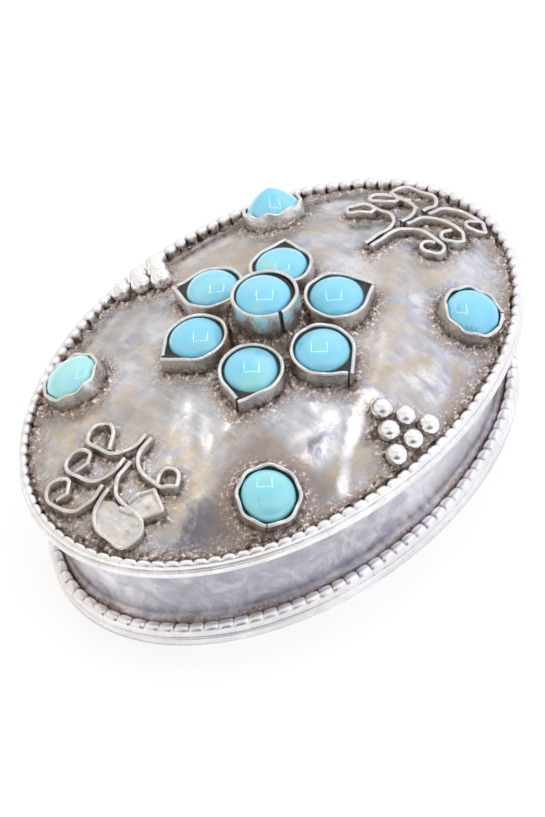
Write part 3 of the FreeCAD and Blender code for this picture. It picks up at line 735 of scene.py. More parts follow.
start_count = len(made)
opening_half = wall_half - WALL_GAUGE - LID_CLEARANCE - COLLAR_GAUGE
for name, node, soft, finish in (("rim_plate_sheet", "lid_rim_plate", PLATE_ROUND, bead_silver),
                                 ("collar_band", "lid_collar", COLLAR_ROUND, wall_silver)):
    band_skin = skin(oval_band(node, opening_half, soft), True, wear=BAND_WEAR)
    add_piece(name, [band_skin], "lid", "sheet_silver", finish, node)
report("rim plate and collar:", start_count)

# %% [markdown]
# ## Beaded wire
#
# Beaded wire is round wire that was rolled under a grooved file, so the beads hang together by short necks.
# A row of spheres would leave sharp creases and thousands of hidden faces. A single tube whose radius
# swells and shrinks along the oval is one clean skin. Round the foot the necks are cut from above. Round the
# lid they are deep towards the dome and nearly gone outside, where the wire is worn smooth, and the front
# is filed slimmer. The necks and the side that leans on the box are made darker.

# %% Two beaded wires
BEAD_RADIUS, BEAD_WIDTH, BEAD_SEAT, SOLDER = 0.75, 0.62, 0.15, 0.05
RINGS_PER_BEAD, TUBE_SIDES = 10, 20
BEAD_SIZES, NECK_SHARES, BEAD_POWER = (0.94, 1.0), (0.6, 1.0), 2.2


def beaded_wire(name, node, half, level, body, pitch, neck, bearing, outward, slim, rubbed, inner_darkening, seed):
    """A tube along an oval. In a bead u runs from -1 to 1, and the radius is R (1 - d (1 - sqrt(1 - u^p))).
    The neck's depth d is largest on the side at the bearing, and smaller where the wire was rubbed. There
    the wire is also slimmer, by the share slim, and keeps its outer side. Outward moves the whole oval,
    and one more share darkens the side that leans on the box."""
    path = np.asarray(half) + BEAD_RADIUS + SOLDER + outward
    _, length = oval_turn(path, AROUND)
    count = math.ceil(length / pitch)
    turn, _ = oval_turn(path, count * RINGS_PER_BEAD)
    step = np.arange(count * RINGS_PER_BEAD)
    along = 2 * ((step % RINGS_PER_BEAD) / RINGS_PER_BEAD) - 1
    sides = np.linspace(0, 2 * math.pi, TUBE_SIDES, endpoint=False)
    draw = np.random.default_rng(seed)
    size = np.repeat(draw.uniform(*BEAD_SIZES, count), RINGS_PER_BEAD)
    worn = np.repeat(draw.uniform(*NECK_SHARES, count), RINGS_PER_BEAD)
    depth = neck * worn * (1 - rubbed * np.clip(facing(turn), 0, 1))
    loss = slim * np.clip(0.5 + facing(turn), 0, 1)[:, None]
    open_side = 0.5 + 0.5 * np.cos(sides - bearing)
    groove = (1 - np.sqrt(1 - np.abs(along) ** BEAD_POWER))[:, None]
    radius = (1 - loss) * size[:, None] * (1 - depth[:, None] * open_side * groove)
    growth = BEAD_WIDTH * (loss + radius * np.cos(sides))
    middle = level + BEAD_RADIUS * (1 - loss) - BEAD_SEAT
    height = np.maximum(middle + BEAD_RADIUS * radius * np.sin(sides), level)
    rings = round_oval(path, turn[:, None], growth, height)
    # The open side of each neck, and the side of the tube that leans on the box, are made darker.
    pit = groove * np.clip(1.6 * open_side - 0.5, 0, 1)
    inward = np.clip(-1.2 * np.cos(sides) - 0.2, 0, 1)
    wear = np.clip(1.05 - 0.8 * pit - inner_darkening * inward + 0.1 * wander(rings, 5.0, seed + 1), 0, 1)
    add_piece(name, [skin(rings, True, wear=wear)], body, "beaded_silver", bead_silver, node)
    print(name, count, "beads")


start_count = len(made)
beaded_wire("foot_beading", "base_beaded_wire", wall_half, base_high[2], "base", pitch=1.35, neck=0.5,
            bearing=1.7, outward=0.24, slim=0.0, rubbed=0.2, inner_darkening=0.35, seed=21)
beaded_wire("lid_beading", "lid_beaded_wire", dome_half - FOOT_CREEP, rim_top, "lid", pitch=1.25, neck=0.85,
            bearing=2.55, outward=0.06, slim=0.3, rubbed=0.1, inner_darkening=0.7, seed=22)
report("beading:", start_count)

# %% [markdown]
# ## How near the ornaments are
#
# Solder and dirt lie close to the foot of each ornament, so the dome has to know how far each of its points
# is from the nearest one. Painting a mask by hand would have to be done again after each change. A gap can
# be worked out: from a circle, from a teardrop, and from the path of a ribbon, for all points at once.

# %% Gaps to the ornaments
DOME_ROWS, DOME_COLUMNS, FIRST_SHARE = 158, 500, 0.004
GRAIN_FOOT, RIBBON_GAUGE, PATH_STRIDE = 0.75, 0.42, 3


def teardrop_gap(points, where, radius, tip):
    """Distance to a round end with two tangent sides: to the circle behind the sides, else to the side."""
    origin, axes = where
    x, y, _ = np.moveaxis((points - origin) @ axes.T, -1, 0)
    y = np.abs(y)
    sine = radius / tip
    cosine = math.sqrt(1 - sine ** 2)
    along = x * cosine - y * sine
    side = x * sine + y * cosine - radius
    gap = np.where(along < 0, np.hypot(x, y) - radius, side)
    return np.where(along > tip * cosine, np.hypot(x - tip, y), gap)


def round_gap(points, where, radius):
    """Distance to a circle about a seat."""
    return np.linalg.norm(points - where[0], axis=-1) - radius


def ribbon_gap(points, path):
    """Distance in plan to a ribbon's path, tried against every third point of the path."""
    gap = np.full(points.shape[:-1], np.inf)
    for x, y in path[::PATH_STRIDE]:
        gap = np.minimum(gap, (points[..., 0] - x) ** 2 + (points[..., 1] - y) ** 2)
    return np.sqrt(gap) - RIBBON_GAUGE / 2


turn, _ = oval_turn(dome_half, DOME_COLUMNS)
share = np.linspace(FIRST_SHARE, 1, DOME_ROWS)[:, None]
smooth = on_dome(dome_half[0] * share * np.cos(turn), dome_half[1] * share * np.sin(turn))
centre_gap = round_gap(smooth, centre, CENTRE_RADIUS)
petal_gaps = [teardrop_gap(smooth, where, PETAL_RADIUS, PETAL_TIP) for where in petals]
corner_gaps = [round_gap(smooth, where, CORNER_RADIUS) for where in corners]
settings_gap = np.min(petal_gaps + [centre_gap] + corner_gaps, 0)
grain_gap = np.min([round_gap(smooth, where, GRAIN_FOOT) for group in grains.values() for where in group], 0)
scroll_gap = np.min([ribbon_gap(smooth, path[0]) for path in scrolls.values()], 0)
foot_gap = (1 - share) * np.hypot(dome_half[0] * np.cos(turn), dome_half[1] * np.sin(turn))
print("bare places of the dome are up to", round(float(settings_gap.max()), 1), "mm from a setting")

# %% [markdown]
# ## Solder and dents
#
# The dome was hammered up from flat sheet and then had everything soldered on, so it is bruised, and solder
# has crept out round every foot. A smooth cap with a bump texture would still have a perfect outline. Here
# each point of a grid moves along its normal: slow waves from the hammer, a few named dents, and a hump of
# lumpy solder that depends on the gap to the nearest ornament. Most solder has run in the middle of the
# flower, where it fills the clefts between the settings.

# %% Relief of the dome
FEET = [  # gap, height of the solder, its width, width of the dirt
    (settings_gap, 0.26, 0.5, 1.25), (grain_gap, 0.3, 0.5, 1.1),
    (scroll_gap, 0.2, 0.42, 0.8), (foot_gap, 0.5, 0.8, 1.3),
]
MOST_SOLDER = 0.6
HEART_SOLDER, HEART_LUMPS, HEART_WIDTH = 1.45, 0.25, 0.8
DENTS = [  # plan x and y, radius and depth
    (-3.2, -14.2, 1.32, 0.17), (6.4, -12.6, 2.16, 0.1), (-9.5, -9.0, 1.92, 0.08), (-14.0, 3.0, 1.8, 0.07),
    (12.5, 2.5, 1.68, 0.07), (-3.0, 13.0, 1.56, 0.08), (-18.5, -9.0, 1.56, 0.09), (19.0, -8.0, 1.56, 0.08),
]


def spot(x, y, long, wide, way=(1, 0)):
    """An oval bell about a place in plan: exp(-(u / long)^2 - (v / wide)^2), with u along a way."""
    from_x, from_y = smooth[..., 0] - x, smooth[..., 1] - y
    u = way[0] * from_x + way[1] * from_y
    v = way[0] * from_y - way[1] * from_x
    return hump(u, long) * hump(v, wide)


# Lumps of solder 0.8 and 0.4 mm long, and bruises of the hammer 5.5 and 2.2 mm long.
lumps = 1 + 0.45 * wander(smooth, 0.8, seed=31) + 0.25 * wander(smooth, 0.42, seed=32)
bruise = 0.055 * wander(smooth, 5.5, seed=33) + 0.018 * wander(smooth, 2.2, seed=34)
solder = lumps * sum(high * near(gap, width) for gap, high, width, _ in FEET)
heart = (HEART_SOLDER + HEART_LUMPS * lumps) * near(centre_gap, HEART_WIDTH)
for x, y, radius, depth in DENTS:
    bruise = bruise - depth * spot(x, y, radius, radius)
raised = np.maximum(np.clip(solder, 0, MOST_SOLDER), heart)
relief = raised + bruise * (1 - share ** 6)
print("relief from", round(float(relief.min()), 2), "to", round(float(relief.max()), 2), "mm")

# %% [markdown]
# ## Marks on the dome
#
# The finish reads four marks: wear, patina, stain and a painted highlight. Each could be a painted picture,
# but then it would belong to one mesh only. Here a mark is a sum of gaps and of soft oval spots, given by
# place, length, width and the way of the long axis. Dirt lies where the solder is, brown stains round the
# stones, and on the front lies a painted highlight: two bright streaks, a glint and a paler patch.

# %% Wear, patina, stain and painted highlight
nearest = np.minimum.reduce([gap / dirt for gap, _, _, dirt in FEET])
dark_lip = spot(-3.0, -14.4, 1.5, 0.6)
wear = 1 - np.exp(-np.maximum(nearest, 0) ** 1.3) - 0.5 * dark_lip

left_end = spot(-19.4, -10.2, 4.2, 2.6)
bruised = spot(-7.4, -11.5, 2.7, 2.1)
patina = left_end + 0.38 * bruised

near_stone = near(corner_gaps[FRONT_STONE - 1], 2.4)
veil = spot(-9.6, -9.0, 4.6, 2.3, (0.86, -0.5))
stain = 0.75 * near_stone + 0.45 * near(settings_gap, 1.8) + 0.5 * near(foot_gap, 2.6) + 0.5 * veil

# Painted highlight on the front of the dome: two bright streaks, a round glint and a paler patch.
painted_streak = spot(-3.1, -13.0, 3.8, 0.65, (0.92, 0.38))
painted_lower_streak = spot(-7.6, -15.4, 2.2, 0.6, (0.83, 0.55))
painted_glint = spot(0.25, -12.2, 1.25, 1.25)
pale = spot(5.6, -13.8, 2.6, 2.6)
shine = np.maximum.reduce([painted_streak, 0.42 * pale, 0.9 * painted_glint, 0.765 * painted_lower_streak])
print("mean wear", round(float(wear.mean()), 2), "and mean shine", round(float(shine.mean()), 3))

# %% [markdown]
# ## The dome's sheet
#
# A surface without thickness would show its back where the lid is lifted. A Solidify modifier could give it
# one, but the inside of a hammered lid is smoother than its outside. So the rings run on: from the top down
# the outside, out over a toe of solder under the beading, down a short skirt to the rim, and back up a plain
# inner cap.

# %% Dome sheet
FOOT_TOE, TOE_HEIGHT = 0.4, 0.15
INSIDE_ROWS, LAST_SHARE = 22, 0.01
INSIDE_WEAR, INSIDE_STAIN = 0.55, 0.2


def over_all(mark, inside_value):
    """A mark of the outside, kept over toe and skirt, and one value for the whole inside."""
    return np.concatenate([mark, mark[-1:], mark[-1:], np.full((INSIDE_ROWS, DOME_COLUMNS), inside_value)])


start_count = len(made)
outside = smooth + dome_normal(smooth) * relief[..., None]
toe = round_oval(dome_half, turn, FOOT_TOE, rim_top + TOE_HEIGHT)[None]
skirt = toe * (1, 1, 0) + (0, 0, rim_top)
inner_axes = dome_axes - DOME_GAUGE
inner_foot = inner_axes[:2] * math.sqrt(1 - (DOME_DEPTH / inner_axes[2]) ** 2)
inner_half = np.linspace(1, LAST_SHARE, INSIDE_ROWS)[:, None, None] * inner_foot
inside = on_dome(inner_half[..., 0] * np.cos(turn), inner_half[..., 1] * np.sin(turn), -DOME_GAUGE)
dome_skin = skin(np.concatenate([outside, toe, skirt, inside]), wear=over_all(wear, INSIDE_WEAR),
                 patina=over_all(patina, 0), shine=over_all(shine, 0), stain=over_all(stain, INSIDE_STAIN))
add_piece("dome_sheet", [dome_skin], "lid", "sheet_silver", sheet_silver, "lid_dome")
report("dome:", start_count)

# %% [markdown]
# ## Strips on edge: bezels
#
# A bezel is a strip of sheet bent round the stone and soldered where its ends meet. On the petals the ends
# meet at the tip, where one runs a little past the other, and on the tall centre bezel the seam stands open.
# The strip's section is a thin box with a rubbed, rounded top. Carrying that section along the bent path,
# with the rim wandering up and down, gives the hand-cut look that a bevelled curve would iron out. The
# corner bezels were pushed over their stones in eight places, so their rims are scalloped.

# %% Bezels
SUNK = 0.14
STRIP_POINTS, CROWN_SHARE = 7, 0.4
RIM_GAUGE, RIM_WAVER, RIM_WANDER, RIM_WAVELENGTH = 0.36, 0.018, 0.045, 3.0
PUSHES = 8
OVERRUN, SEAM = 0.12, 0.36
BEZEL_SEEDS = {"petal": 50, "centre": 70, "corner": 80}
CORNER_SEAM = 2  # degrees
CORNER_START, CORNER_LEAN = 0.03, 0.14
FRONT_PUSH, OTHER_PUSH = (0.06, 0.02), (0.13, 0.006)  # how deep a push scallops the rim and facets the plan


def strip(path, angle, where, bottom, top, gauge, lean=0.0):
    """Rings of a thin upright section along a path: across the path by w, and up from bottom to top.
    The top is half an ellipse, gauge wide. Lean moves the top inwards. The wear mark comes with them."""
    up = np.linspace(0, 1, STRIP_POINTS)
    over = np.linspace(0, math.pi, STRIP_POINTS + 2)[1:-1]
    side = np.ones(STRIP_POINTS)
    across = np.concatenate([0.5 * side, 0.5 * np.cos(over), -0.5 * side])
    rise = np.concatenate([up, side, up[::-1]])
    crown = np.concatenate([0 * side, np.sin(over), 0 * side]) * CROWN_SHARE * gauge
    right = np.stack([np.sin(angle), -np.cos(angle)], -1)
    height = bottom[:, None] + rise * (top - CROWN_SHARE * gauge - bottom)[:, None] + crown
    offset = gauge * across - lean * rise ** 2
    flat = path[:, None, :] + right[:, None, :] * offset[..., None]
    # The strip is darker towards its foot, grows lighter towards the top, and is lightest on its rounded top.
    wear = np.clip(0.16 + 0.66 * rise ** 1.2 + 0.5 * (crown > 0), 0, 1)
    if where is None:
        return np.concatenate([flat, height[..., None]], -1), wear
    return placed(flat[..., 0], flat[..., 1], height, where), wear


def bezel(name, where, moves, start, heading, height, seed, scallop=0.0, facet=0.0, lean=0.03):
    """A bezel strip from one end of its seam to the other. Its rim wanders, and cosines of the eight pushes
    scallop the rim and facet the plan."""
    path, angle, along = bent_path(start, heading, moves, RIM_WAVER, seed)
    turn = along / along[-1] * 2 * math.pi
    path = path * (1 + facet * np.cos(PUSHES * turn))[:, None]
    rim = RIM_WANDER * wander(along[:, None], RIM_WAVELENGTH, seed + 1)
    rim = rim + scallop * np.cos(PUSHES * turn + seed)
    bottom = floor_under(path[:, 0], path[:, 1], where) - SUNK
    rings, wear = strip(path, angle, where, bottom, height + rim, RIM_GAUGE, lean)
    add_piece(name + "_strip", [skin(rings, wear=wear)], "lid", "bezel_silver", strip_silver, name)


start_count = len(made)
middle = PETAL_RADIUS - GAUGE / 2
tip = PETAL_TIP * middle / PETAL_RADIUS
open_angle = math.acos(middle / tip)
run = math.sqrt(tip ** 2 - middle ** 2)
lead = math.pi / 2 + open_angle
start = (tip - OVERRUN * math.cos(lead), -OVERRUN * math.sin(lead))
teardrop = [(run + OVERRUN, 0), (middle, 360 - 2 * math.degrees(open_angle)), (run - SEAM, 0)]
for number, where in enumerate(petals, start=1):
    seed = BEZEL_SEEDS["petal"] + 2 * number
    bezel(f"petal_bezel_{number}", where, teardrop, start, lead, PETAL_HEIGHT, seed)
middle = CENTRE_RADIUS - GAUGE / 2
ring = [(middle, 360 - math.degrees(SEAM / middle))]
start = (middle, SEAM / 2)
bezel("centre_bezel", centre, ring, start, math.pi / 2, CENTRE_HEIGHT, BEZEL_SEEDS["centre"])
middle = CORNER_RADIUS - GAUGE / 2
ring = [(middle, 360 - CORNER_SEAM)]
start = (middle, CORNER_START)
for number, where in enumerate(corners, start=1):
    scallop, facet = FRONT_PUSH if number == FRONT_STONE else OTHER_PUSH
    seed = BEZEL_SEEDS["corner"] + 2 * number
    bezel(f"corner_bezel_{number}", where, ring, start, math.pi / 2, CORNER_HEIGHT, seed, scallop, facet,
          CORNER_LEAN)
report("bezels:", start_count)

# %% [markdown]
# ## Stones
#
# The stones are cabochons: a flat back, a short straight girdle and a domed crown, ground by hand and so not
# quite round. A scaled sphere would have no girdle and no flat back. Here the profile is turned about the
# stone's axis, and the radius swells a little with the angle. The stone at the far corner is a tall one,
# nearly a cone.

# %% Cabochons
STONE_SIDES, CROWN_ROWS, CROWN_END = 72, 30, 0.02
OVAL_SWELL, THREE_SWELL, GROUND_OFF, CROWN_TILT = 0.016, 0.008, 0.012, 0.035
GIRDLE, STONE_CROWN, TALL_CROWN, TALL_CONE = 0.9, 1.3, 2.1, 0.55
PETAL_STONE, CENTRE_STONE, CORNER_STONE, SMALLER = 2.48, 2.55, 2.55, 0.12
PETAL_BED, CENTRE_BED, CORNER_BED = 0.7, 3.1, 0.3
PETAL_KINDS = ("drift", "sky", "sky", "drift", "sky", "threaded")
CORNER_KINDS = ("threaded", "pale", "sea", "threaded")
STONE_SEEDS = {"petal": 100, "centre": 110, "corner": 120}
BACK_RADII = [0.5, 0.92, 0.985, 1, 1]  # shares of the radius, from the flat back to the girdle
BACK_RISES = [0, 0, 0.03, 0.1, 0.5 * GIRDLE]  # heights over the bed at the same points


def cabochon(name, where, radius, bed, crown, finish, seed, cone=0.0):
    """A profile (r, z) turned about a seat's normal. On the crown r = R sin t and z = h cos(t)^1.1, mixed
    with a blunt cone, h (1 - sin(t)^1.25). The radius swells with two and three waves round the stone,
    and the crown tilts."""
    arc = np.linspace(math.pi / 2, CROWN_END, CROWN_ROWS)
    r = np.sin(arc)
    z = (1 - cone) * np.cos(arc) ** 1.1 + cone * (1 - r ** 1.25)
    r = radius * np.concatenate([BACK_RADII, r])
    z = bed + np.concatenate([BACK_RISES, GIRDLE + crown * z])
    turn = np.linspace(0, 2 * math.pi, STONE_SIDES, endpoint=False)
    draw = np.random.default_rng(seed)
    phase = draw.uniform(0, 2 * math.pi, 3)
    swell = 1 + OVAL_SWELL * np.cos(2 * turn + phase[0]) + THREE_SWELL * np.cos(3 * turn + phase[1])
    swell = swell - GROUND_OFF
    tilt = CROWN_TILT * crown * np.cos(turn + phase[2])
    high = np.clip((z - bed) / (GIRDLE + crown), 0, 1)[:, None]
    rings = placed(r[:, None] * swell * np.cos(turn), r[:, None] * swell * np.sin(turn),
                   z[:, None] + tilt * high * (1 - high), where)
    add_piece(name.replace("stone", "cabochon"), [skin(rings)], "lid", "turquoise", finish, name)


start_count = len(made)
for number, (where, kind) in enumerate(zip(petals, PETAL_KINDS), start=1):
    cabochon(f"petal_stone_{number}", where, PETAL_STONE, PETAL_BED, STONE_CROWN, turquoises[kind],
             STONE_SEEDS["petal"] + number)
cabochon("centre_stone", centre, CENTRE_STONE, CENTRE_BED, STONE_CROWN, turquoises["sky"],
         STONE_SEEDS["centre"])
for number, (where, kind) in enumerate(zip(corners, CORNER_KINDS), start=1):
    crown, cone = (TALL_CROWN, TALL_CONE) if number == TALL_STONE else (STONE_CROWN, 0.0)
    radius = CORNER_STONE - SMALLER * (number == FRONT_STONE)
    cabochon(f"corner_stone_{number}", where, radius, CORNER_BED, crown, turquoises[kind],
             STONE_SEEDS["corner"] + number, cone)
report("stones:", start_count)

# %% [markdown]
# ## Setting cement
#
# Dark cement fills each bezel up to a little below the rim and creeps up against the strip and the stone. It
# shows as a dark outline round every stone and as a small triangle at the tip of each petal. A boolean of
# the bezel's outline would work, but the outline is simple: seen from the stone's axis, each direction has
# one distance to the strip.

# %% Cement beds
CEMENT_SIDES, CEMENT_STEPS = 120, 9
CEMENT_DROP, CEMENT_LOW = 0.42, 0.3
CORNER_CEMENT, CORNER_CEMENT_LOW = 0.85, 0.05
UNDER_STONE, TIP_ROUND, CEMENT_GAUGE = 0.12, 0.05, 0.2
STRIP_CREEP, STONE_CREEP = (0.13, 0.22), (0.1, 0.3)  # height, and the share of the way that it fades over
CEMENT_WANDER, CEMENT_WAVELENGTH = 0.05, 1.3
CEMENT_SEEDS = {"petal": 130, "centre": 140, "corner": 150}


def cement_bed(name, where, radius, tip, stone_radius, low, level, seed):
    """A ring from just inside the stone to the strip. The strip lies at r, or r / cos(o - t) near the tip."""
    turn = np.linspace(-math.pi, math.pi, CEMENT_SIDES, endpoint=False)
    reach = np.full(CEMENT_SIDES, radius)
    if tip:
        opening = math.acos(radius / tip)
        lean = np.maximum(opening - np.abs(turn), 0)
        reach = np.minimum(radius / np.cos(lean), tip - TIP_ROUND)
    inner = stone_radius - UNDER_STONE
    share = np.linspace(1, 0, CEMENT_STEPS)
    across = inner + share * (reach[:, None] - inner)
    cosine, sine = np.cos(turn)[:, None], np.sin(turn)[:, None]
    # The paste creeps up the strip, and a little less up the stone.
    creep = STRIP_CREEP[0] * hump(1 - share, STRIP_CREEP[1]) + STONE_CREEP[0] * hump(share, STONE_CREEP[1])
    plan = np.stack([across * cosine, across * sine], -1)
    top = level + creep + CEMENT_WANDER * wander(plan, CEMENT_WAVELENGTH, seed)
    bottom = np.minimum(low, top - CEMENT_GAUGE)
    r = np.concatenate([across, across[:, [-1, 0]]], 1)
    z = np.concatenate([top, bottom[:, [-1, 0]]], 1)
    rings = placed(r * cosine, r * sine, z, where)
    bed_name = name.replace("cement", "cement_bed")
    add_piece(bed_name, [skin(rings, True)], "lid", "setting_cement", cement, name)


start_count = len(made)
inner_petal = PETAL_RADIUS - GAUGE
inner_tip = PETAL_TIP * inner_petal / PETAL_RADIUS
for number, where in enumerate(petals, start=1):
    cement_bed(f"petal_cement_{number}", where, inner_petal, inner_tip, PETAL_STONE,
               CEMENT_LOW, PETAL_HEIGHT - CEMENT_DROP, CEMENT_SEEDS["petal"] + number)
cement_bed("centre_cement", centre, CENTRE_RADIUS - GAUGE, None, CENTRE_STONE,
           CEMENT_LOW, CENTRE_HEIGHT - CEMENT_DROP, CEMENT_SEEDS["centre"])
for number, where in enumerate(corners, start=1):
    cement_bed(f"corner_cement_{number}", where, CORNER_RADIUS - GAUGE, None, CORNER_STONE,
               CORNER_CEMENT_LOW, CORNER_CEMENT, CEMENT_SEEDS["corner"] + number)
report("cement:", start_count)

# %% [markdown]
# ## Silver grains
#
# Grains are scraps of silver melted into balls. Solder has pulled a small skirt up round the foot of each
# one. A ball cut off by the dome would meet it in a sharp crease. So the profile is a ball that opens into
# a hollow curve at the foot, turned about the dome's normal, and ball and skirt are one skin. Six of them
# make a pyramid, and each is a little larger or flatter than the next.

# %% Grain pyramids
GRAIN_RADIUS, GRAIN_LIFT, GRAIN_WAIST, GRAIN_SIDES = 1.03, 0.96, -0.85, 40
BALL_ROWS, BALL_END, SKIRT_ROWS = 26, 0.03, 5
SKIRT_WIDTH, SKIRT_SUNK = 0.2, 0.15
GRAIN_SIZES, GRAIN_HEIGHTS, OUT_OF_ROUND = (0.95, 1.0), (0.94, 1.0), 0.02
GRAIN_SEEDS = {"front_grains": 160, "back_grains": 170}
start_count = len(made)
ball = np.linspace(GRAIN_WAIST, math.pi / 2 - BALL_END, BALL_ROWS)
foot = np.linspace(1, 0, SKIRT_ROWS, endpoint=False)
turn = np.linspace(0, 2 * math.pi, GRAIN_SIDES, endpoint=False)
waist_r = GRAIN_RADIUS * math.cos(GRAIN_WAIST)
waist_z = GRAIN_LIFT + GRAIN_RADIUS * math.sin(GRAIN_WAIST)
foot_r = waist_r + SKIRT_WIDTH * foot ** 2
foot_z = waist_z - (waist_z + SKIRT_SUNK) * foot
for name, group in grains.items():
    skins = []
    for number, where in enumerate(group):
        draw = np.random.default_rng(GRAIN_SEEDS[name] + number)
        radius = draw.uniform(*GRAIN_SIZES) * GRAIN_RADIUS
        flattened = draw.uniform(*GRAIN_HEIGHTS)
        swell = 1 + OUT_OF_ROUND * np.cos(2 * turn + draw.uniform(0, 6))
        r = np.concatenate([foot_r, radius * np.cos(ball)])[:, None] * swell
        z = np.concatenate([foot_z, GRAIN_LIFT + radius * np.sin(ball) * flattened])[:, None]
        rings = placed(r * np.cos(turn), r * np.sin(turn), z, where)
        skins.append(skin(rings, wear=np.clip(0.1 + 0.75 * z / 0.9, 0, 1)))
    add_piece(name + "_balls", skins, "lid", "beaded_silver", grain_silver, name)
report("grains:", start_count)

# %% [markdown]
# ## Palmettes of ribbon wire
#
# The ribbons stand on edge on the dome and follow the paths that were bent above. A bevelled curve would
# tip over where the dome slopes. The strip section of the bezels carries them upright instead, with the
# foot sunk a little into the sheet and the top a fixed height above it.

# %% Ribbons
RIBBON_HEIGHT, RIBBON_SUNK = 1.12, 0.24
TOP_WANDER, TOP_WAVELENGTH, TOP_SEED = 0.06, 2.6, 170
start_count = len(made)
for number, (name, (path, angle, along, _)) in enumerate(scrolls.items()):
    ground = on_dome(path[:, 0], path[:, 1])[:, 2]
    tall = RIBBON_HEIGHT + TOP_WANDER * wander(along[:, None], TOP_WAVELENGTH, TOP_SEED + number)
    rings, wear = strip(path, angle, None, ground - RIBBON_SUNK, ground + tall, RIBBON_GAUGE)
    add_piece(name + "_ribbon", [skin(rings, wear=wear)], "lid", "bezel_silver", strip_silver, name)
report("ribbons:", start_count)

# %% [markdown]
# ## Puddles of solder
#
# Solder has flooded two loops of the left palmette and stayed there as bright puddles. A flat lid cut to the
# loop's outline would do from above, but a puddle climbs a little at its edge and ripples. So it is a disc of
# rings about the middle of the loop, which reaches out to the wire in every direction.

# %% Puddles
PUDDLES = {  # depth, and the length of wire before the loop that also bounds it
    "left_front_scroll_2": (0.8, 0.0), "left_front_scroll_3": (0.62, 4.9),
}
PUDDLE_SIDES, PUDDLE_ROWS, FIRST_RING, CLIMB = 72, 14, 0.02, 0.15
start_count = len(made)
turn = np.linspace(-math.pi, math.pi, PUDDLE_SIDES, endpoint=False)
share = np.concatenate([np.linspace(FIRST_RING, 1, PUDDLE_ROWS), [1.0]])[:, None]
for name, (depth, before) in PUDDLES.items():
    path, _, along, crook_length = scrolls[name]
    loop = path[along > crook_length - before]
    middle = (loop.max(0) + loop.min(0)) / 2
    spokes = loop - middle
    bearing = np.arctan2(spokes[:, 1], spokes[:, 0])
    order = np.argsort(bearing)
    reach = np.interp(turn, bearing[order], np.linalg.norm(spokes, axis=1)[order], period=2 * math.pi)
    puddle = on_dome(middle[0] + share * reach * np.cos(turn), middle[1] + share * reach * np.sin(turn))
    # The top has long and short ripples and climbs the wire, and the last ring goes down into the sheet.
    ripple = 0.06 * wander(puddle, 1.3, seed=180) + 0.02 * wander(puddle, 0.5, seed=181)
    puddle[:-1, :, 2] += (depth + ripple + CLIMB * share ** 4)[:-1]
    puddle[-1, :, 2] -= SUNK
    puddle_wear = np.clip(0.9 + 0.5 * wander(puddle, 1.4, seed=182), 0.2, 1)
    add_piece(name + "_puddle", [skin(puddle, wear=puddle_wear)], "lid", "bezel_silver", pool_silver)
report("puddles:", start_count)

# %% [markdown]
# ## Table
#
# The box stands on a plain pale table. A white plane alone would go grey where the light falls off, so the
# table also glows a little for the camera and for mirror rays. It still darkens under the box.

# %% Table
TABLE, TABLE_GLOW = 3.0, 0.5
table_mesh = bpy.data.meshes.new("table")
table_corners = [(TABLE * x, TABLE * y, 0) for x, y in ((-1, -1), (1, -1), (1, 1), (-1, 1))]
table_mesh.from_pydata(table_corners, [], [(0, 1, 2, 3)])
table = bpy.data.objects.new("table", table_mesh)
bpy.context.scene.collection.objects.link(table)
cloth = Finish("pale_table")
cloth.shade(Base_Color=(0.62, 0.62, 0.62, 1.0), Roughness=0.9, Emission_Color=(1, 1, 1, 1))
rays = cloth.node("ShaderNodeLightPath").outputs
seen = cloth.reckon("MAXIMUM", rays["Is Camera Ray"], rays["Is Glossy Ray"])
cloth.shade(Emission_Strength=cloth.reckon("MULTIPLY", seen, TABLE_GLOW))
table_mesh.materials.append(cloth.material)
print("table:", 2 * TABLE, "m wide")

# %% [markdown]
# ## Camera
#
# A small object photographed from near looks different from one seen through a long lens, so the camera
# stands 30 cm away and looks down at 45 degrees, with a slight roll, as a hand-held camera has. It could be
# aimed with a Track To constraint, but that gives no roll. The three axes of the camera are worked out from
# the angles instead, and they also serve to place the light.

# %% Camera
TARGET = Vector((0, 0, 0.010))
AZIMUTH, ELEVATION, ROLL = math.radians(-41.2), math.radians(45.0), math.radians(-9.16)
DISTANCE, LENS, SENSOR = 0.2995, 143.17, 36.0
SHIFT = (-0.00438, -0.03807)


def way(azimuth, elevation):
    """Unit vector from the box towards an azimuth, counted from the front, and an elevation."""
    flat = math.cos(elevation)
    return Vector((math.sin(azimuth) * flat, -math.cos(azimuth) * flat, math.sin(elevation)))


back = way(AZIMUTH, ELEVATION)
right = Vector((0, 0, 1)).cross(back).normalized()
up = back.cross(right)
ahead = Vector((0, 0, 1)).cross(right)
rolled_right = math.cos(ROLL) * right + math.sin(ROLL) * up
rolled_up = math.cos(ROLL) * up - math.sin(ROLL) * right
camera_data = bpy.data.cameras.new("camera")
camera_data.lens = LENS
camera_data.sensor_width = SENSOR
camera_data.shift_x, camera_data.shift_y = SHIFT
camera_data.clip_start, camera_data.clip_end = 0.01, 20.0
camera = bpy.data.objects.new("camera", camera_data)
turned = Matrix((rolled_right, rolled_up, back)).transposed().to_4x4()
camera.matrix_world = Matrix.Translation(TARGET + back * DISTANCE) @ turned
bpy.context.scene.collection.objects.link(camera)
bpy.context.scene.camera = camera
print("camera:", round(DISTANCE * 1000), "mm from the box")

# %% [markdown]
# ## Light tent
#
# Silver shows what stands round it, so the surroundings are part of its colour. Lamps alone would leave it
# black between their highlights. So the box stands in a white tent that is brighter at its sides than above,
# cool on the right and warm on the left. On the camera's side there is a dark opening, which each grain
# mirrors as a dark spot. For the camera itself the tent is plain white.

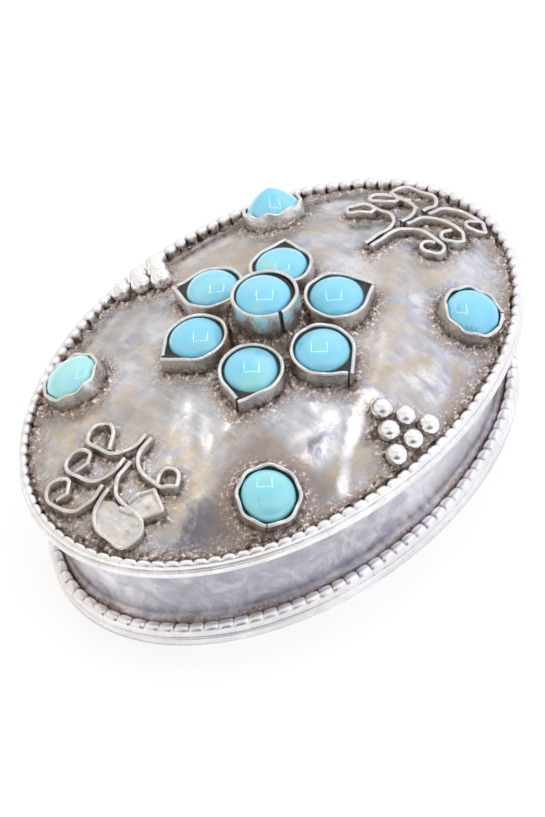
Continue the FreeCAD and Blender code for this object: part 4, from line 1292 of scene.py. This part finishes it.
# %% World
TENT_WARM, TENT_COOL, WHITE = (1.0, 0.965, 0.925), (0.92, 0.94, 1.035), (1.0, 1.0, 1.0)
OPENING = way(AZIMUTH, math.radians(12))
OPENING_EDGE, OPENING_HEART = math.cos(math.radians(38)), math.cos(math.radians(17))
UP = (0, 0, 1)
world = bpy.data.worlds.new("light_tent")
bpy.context.scene.world = world
tent = NodeTree(world)
direction = tent.node("ShaderNodeTexCoord").outputs["Generated"]


def towards(aim):
    """Cosine of the angle between a direction in the tent and an aim."""
    return tent.node("ShaderNodeVectorMath", {0: direction, 1: aim}, operation="DOT_PRODUCT").outputs["Value"]


roof = tent.fade(towards(UP), 0.5, 0.93, 1.2, 0.78)
low_sides = tent.fade(towards(UP), 0.2, 0.6, 0.7, 1.0)
aside = tent.fade(towards(right), -0.7, 0.6, 0.92, 1.24)
opening = tent.fade(towards(OPENING), OPENING_EDGE, OPENING_HEART, 1.0, 0.22)
strength = roof
for share_of_light in (low_sides, aside, opening):
    strength = tent.reckon("MULTIPLY", strength, share_of_light)
tint = tent.blend(tent.fade(towards(right), -0.5, 0.6), TENT_WARM, TENT_COOL)
camera_ray = tent.node("ShaderNodeLightPath").outputs["Is Camera Ray"]
background = tent.tree.nodes["Background"]
tent.put(background.inputs["Color"], tent.blend(camera_ray, tint, WHITE))
seen_strength = tent.node("ShaderNodeMix", {0: camera_ray, 2: strength, 3: 1.0}, data_type="FLOAT")
tent.put(background.inputs["Strength"], seen_strength.outputs[0])
print("tent:", len(tent.tree.nodes), "nodes")

# %% [markdown]
# ## Light bars
#
# Every stone carries the same small U of light, so three bars hang overhead: one near the camera's side and
# one on each side. They could be glowing planes, but area lamps give less noise. They are thin and not
# strong, because the strokes of the U are only a little lighter than the stone. The whole frame of bars is
# turned a little, as the U is.

# %% Light bars
BARS = [  # name, metres ahead of the box, metres to the right, length ahead, length across, watts
    ("near_bar", 0.01, 0.0, 0.008, 0.15, 0.019), ("left_bar", 0.095, -0.075, 0.17, 0.008, 0.025),
    ("right_bar", 0.085, 0.085, 0.17, 0.008, 0.03),
]
BAR_HEIGHT, BAR_TURN, BAR_COLOUR = 0.26, math.radians(-6), (1.0, 0.985, 0.96)
bar_right = math.cos(BAR_TURN) * right + math.sin(BAR_TURN) * ahead
bar_ahead = math.cos(BAR_TURN) * ahead - math.sin(BAR_TURN) * right
for name, forward, sideways, long, wide, watts in BARS:
    lamp = bpy.data.lights.new(name, "AREA")
    lamp.shape = "RECTANGLE"
    lamp.size, lamp.size_y = wide, long
    lamp.energy = watts
    lamp.color = BAR_COLOUR
    bar = bpy.data.objects.new(name, lamp)
    bar.location = bar_ahead * forward + bar_right * sideways + Vector((0, 0, BAR_HEIGHT))
    bar.rotation_euler = (0, 0, math.atan2(bar_right.y, bar_right.x))
    bpy.context.scene.collection.objects.link(bar)
bpy.context.scene.view_settings.view_transform = "Standard"
print("lamps:", len(BARS), "pieces:", len(made), "triangles:", sum(row[1] for row in made))

# %% [markdown]
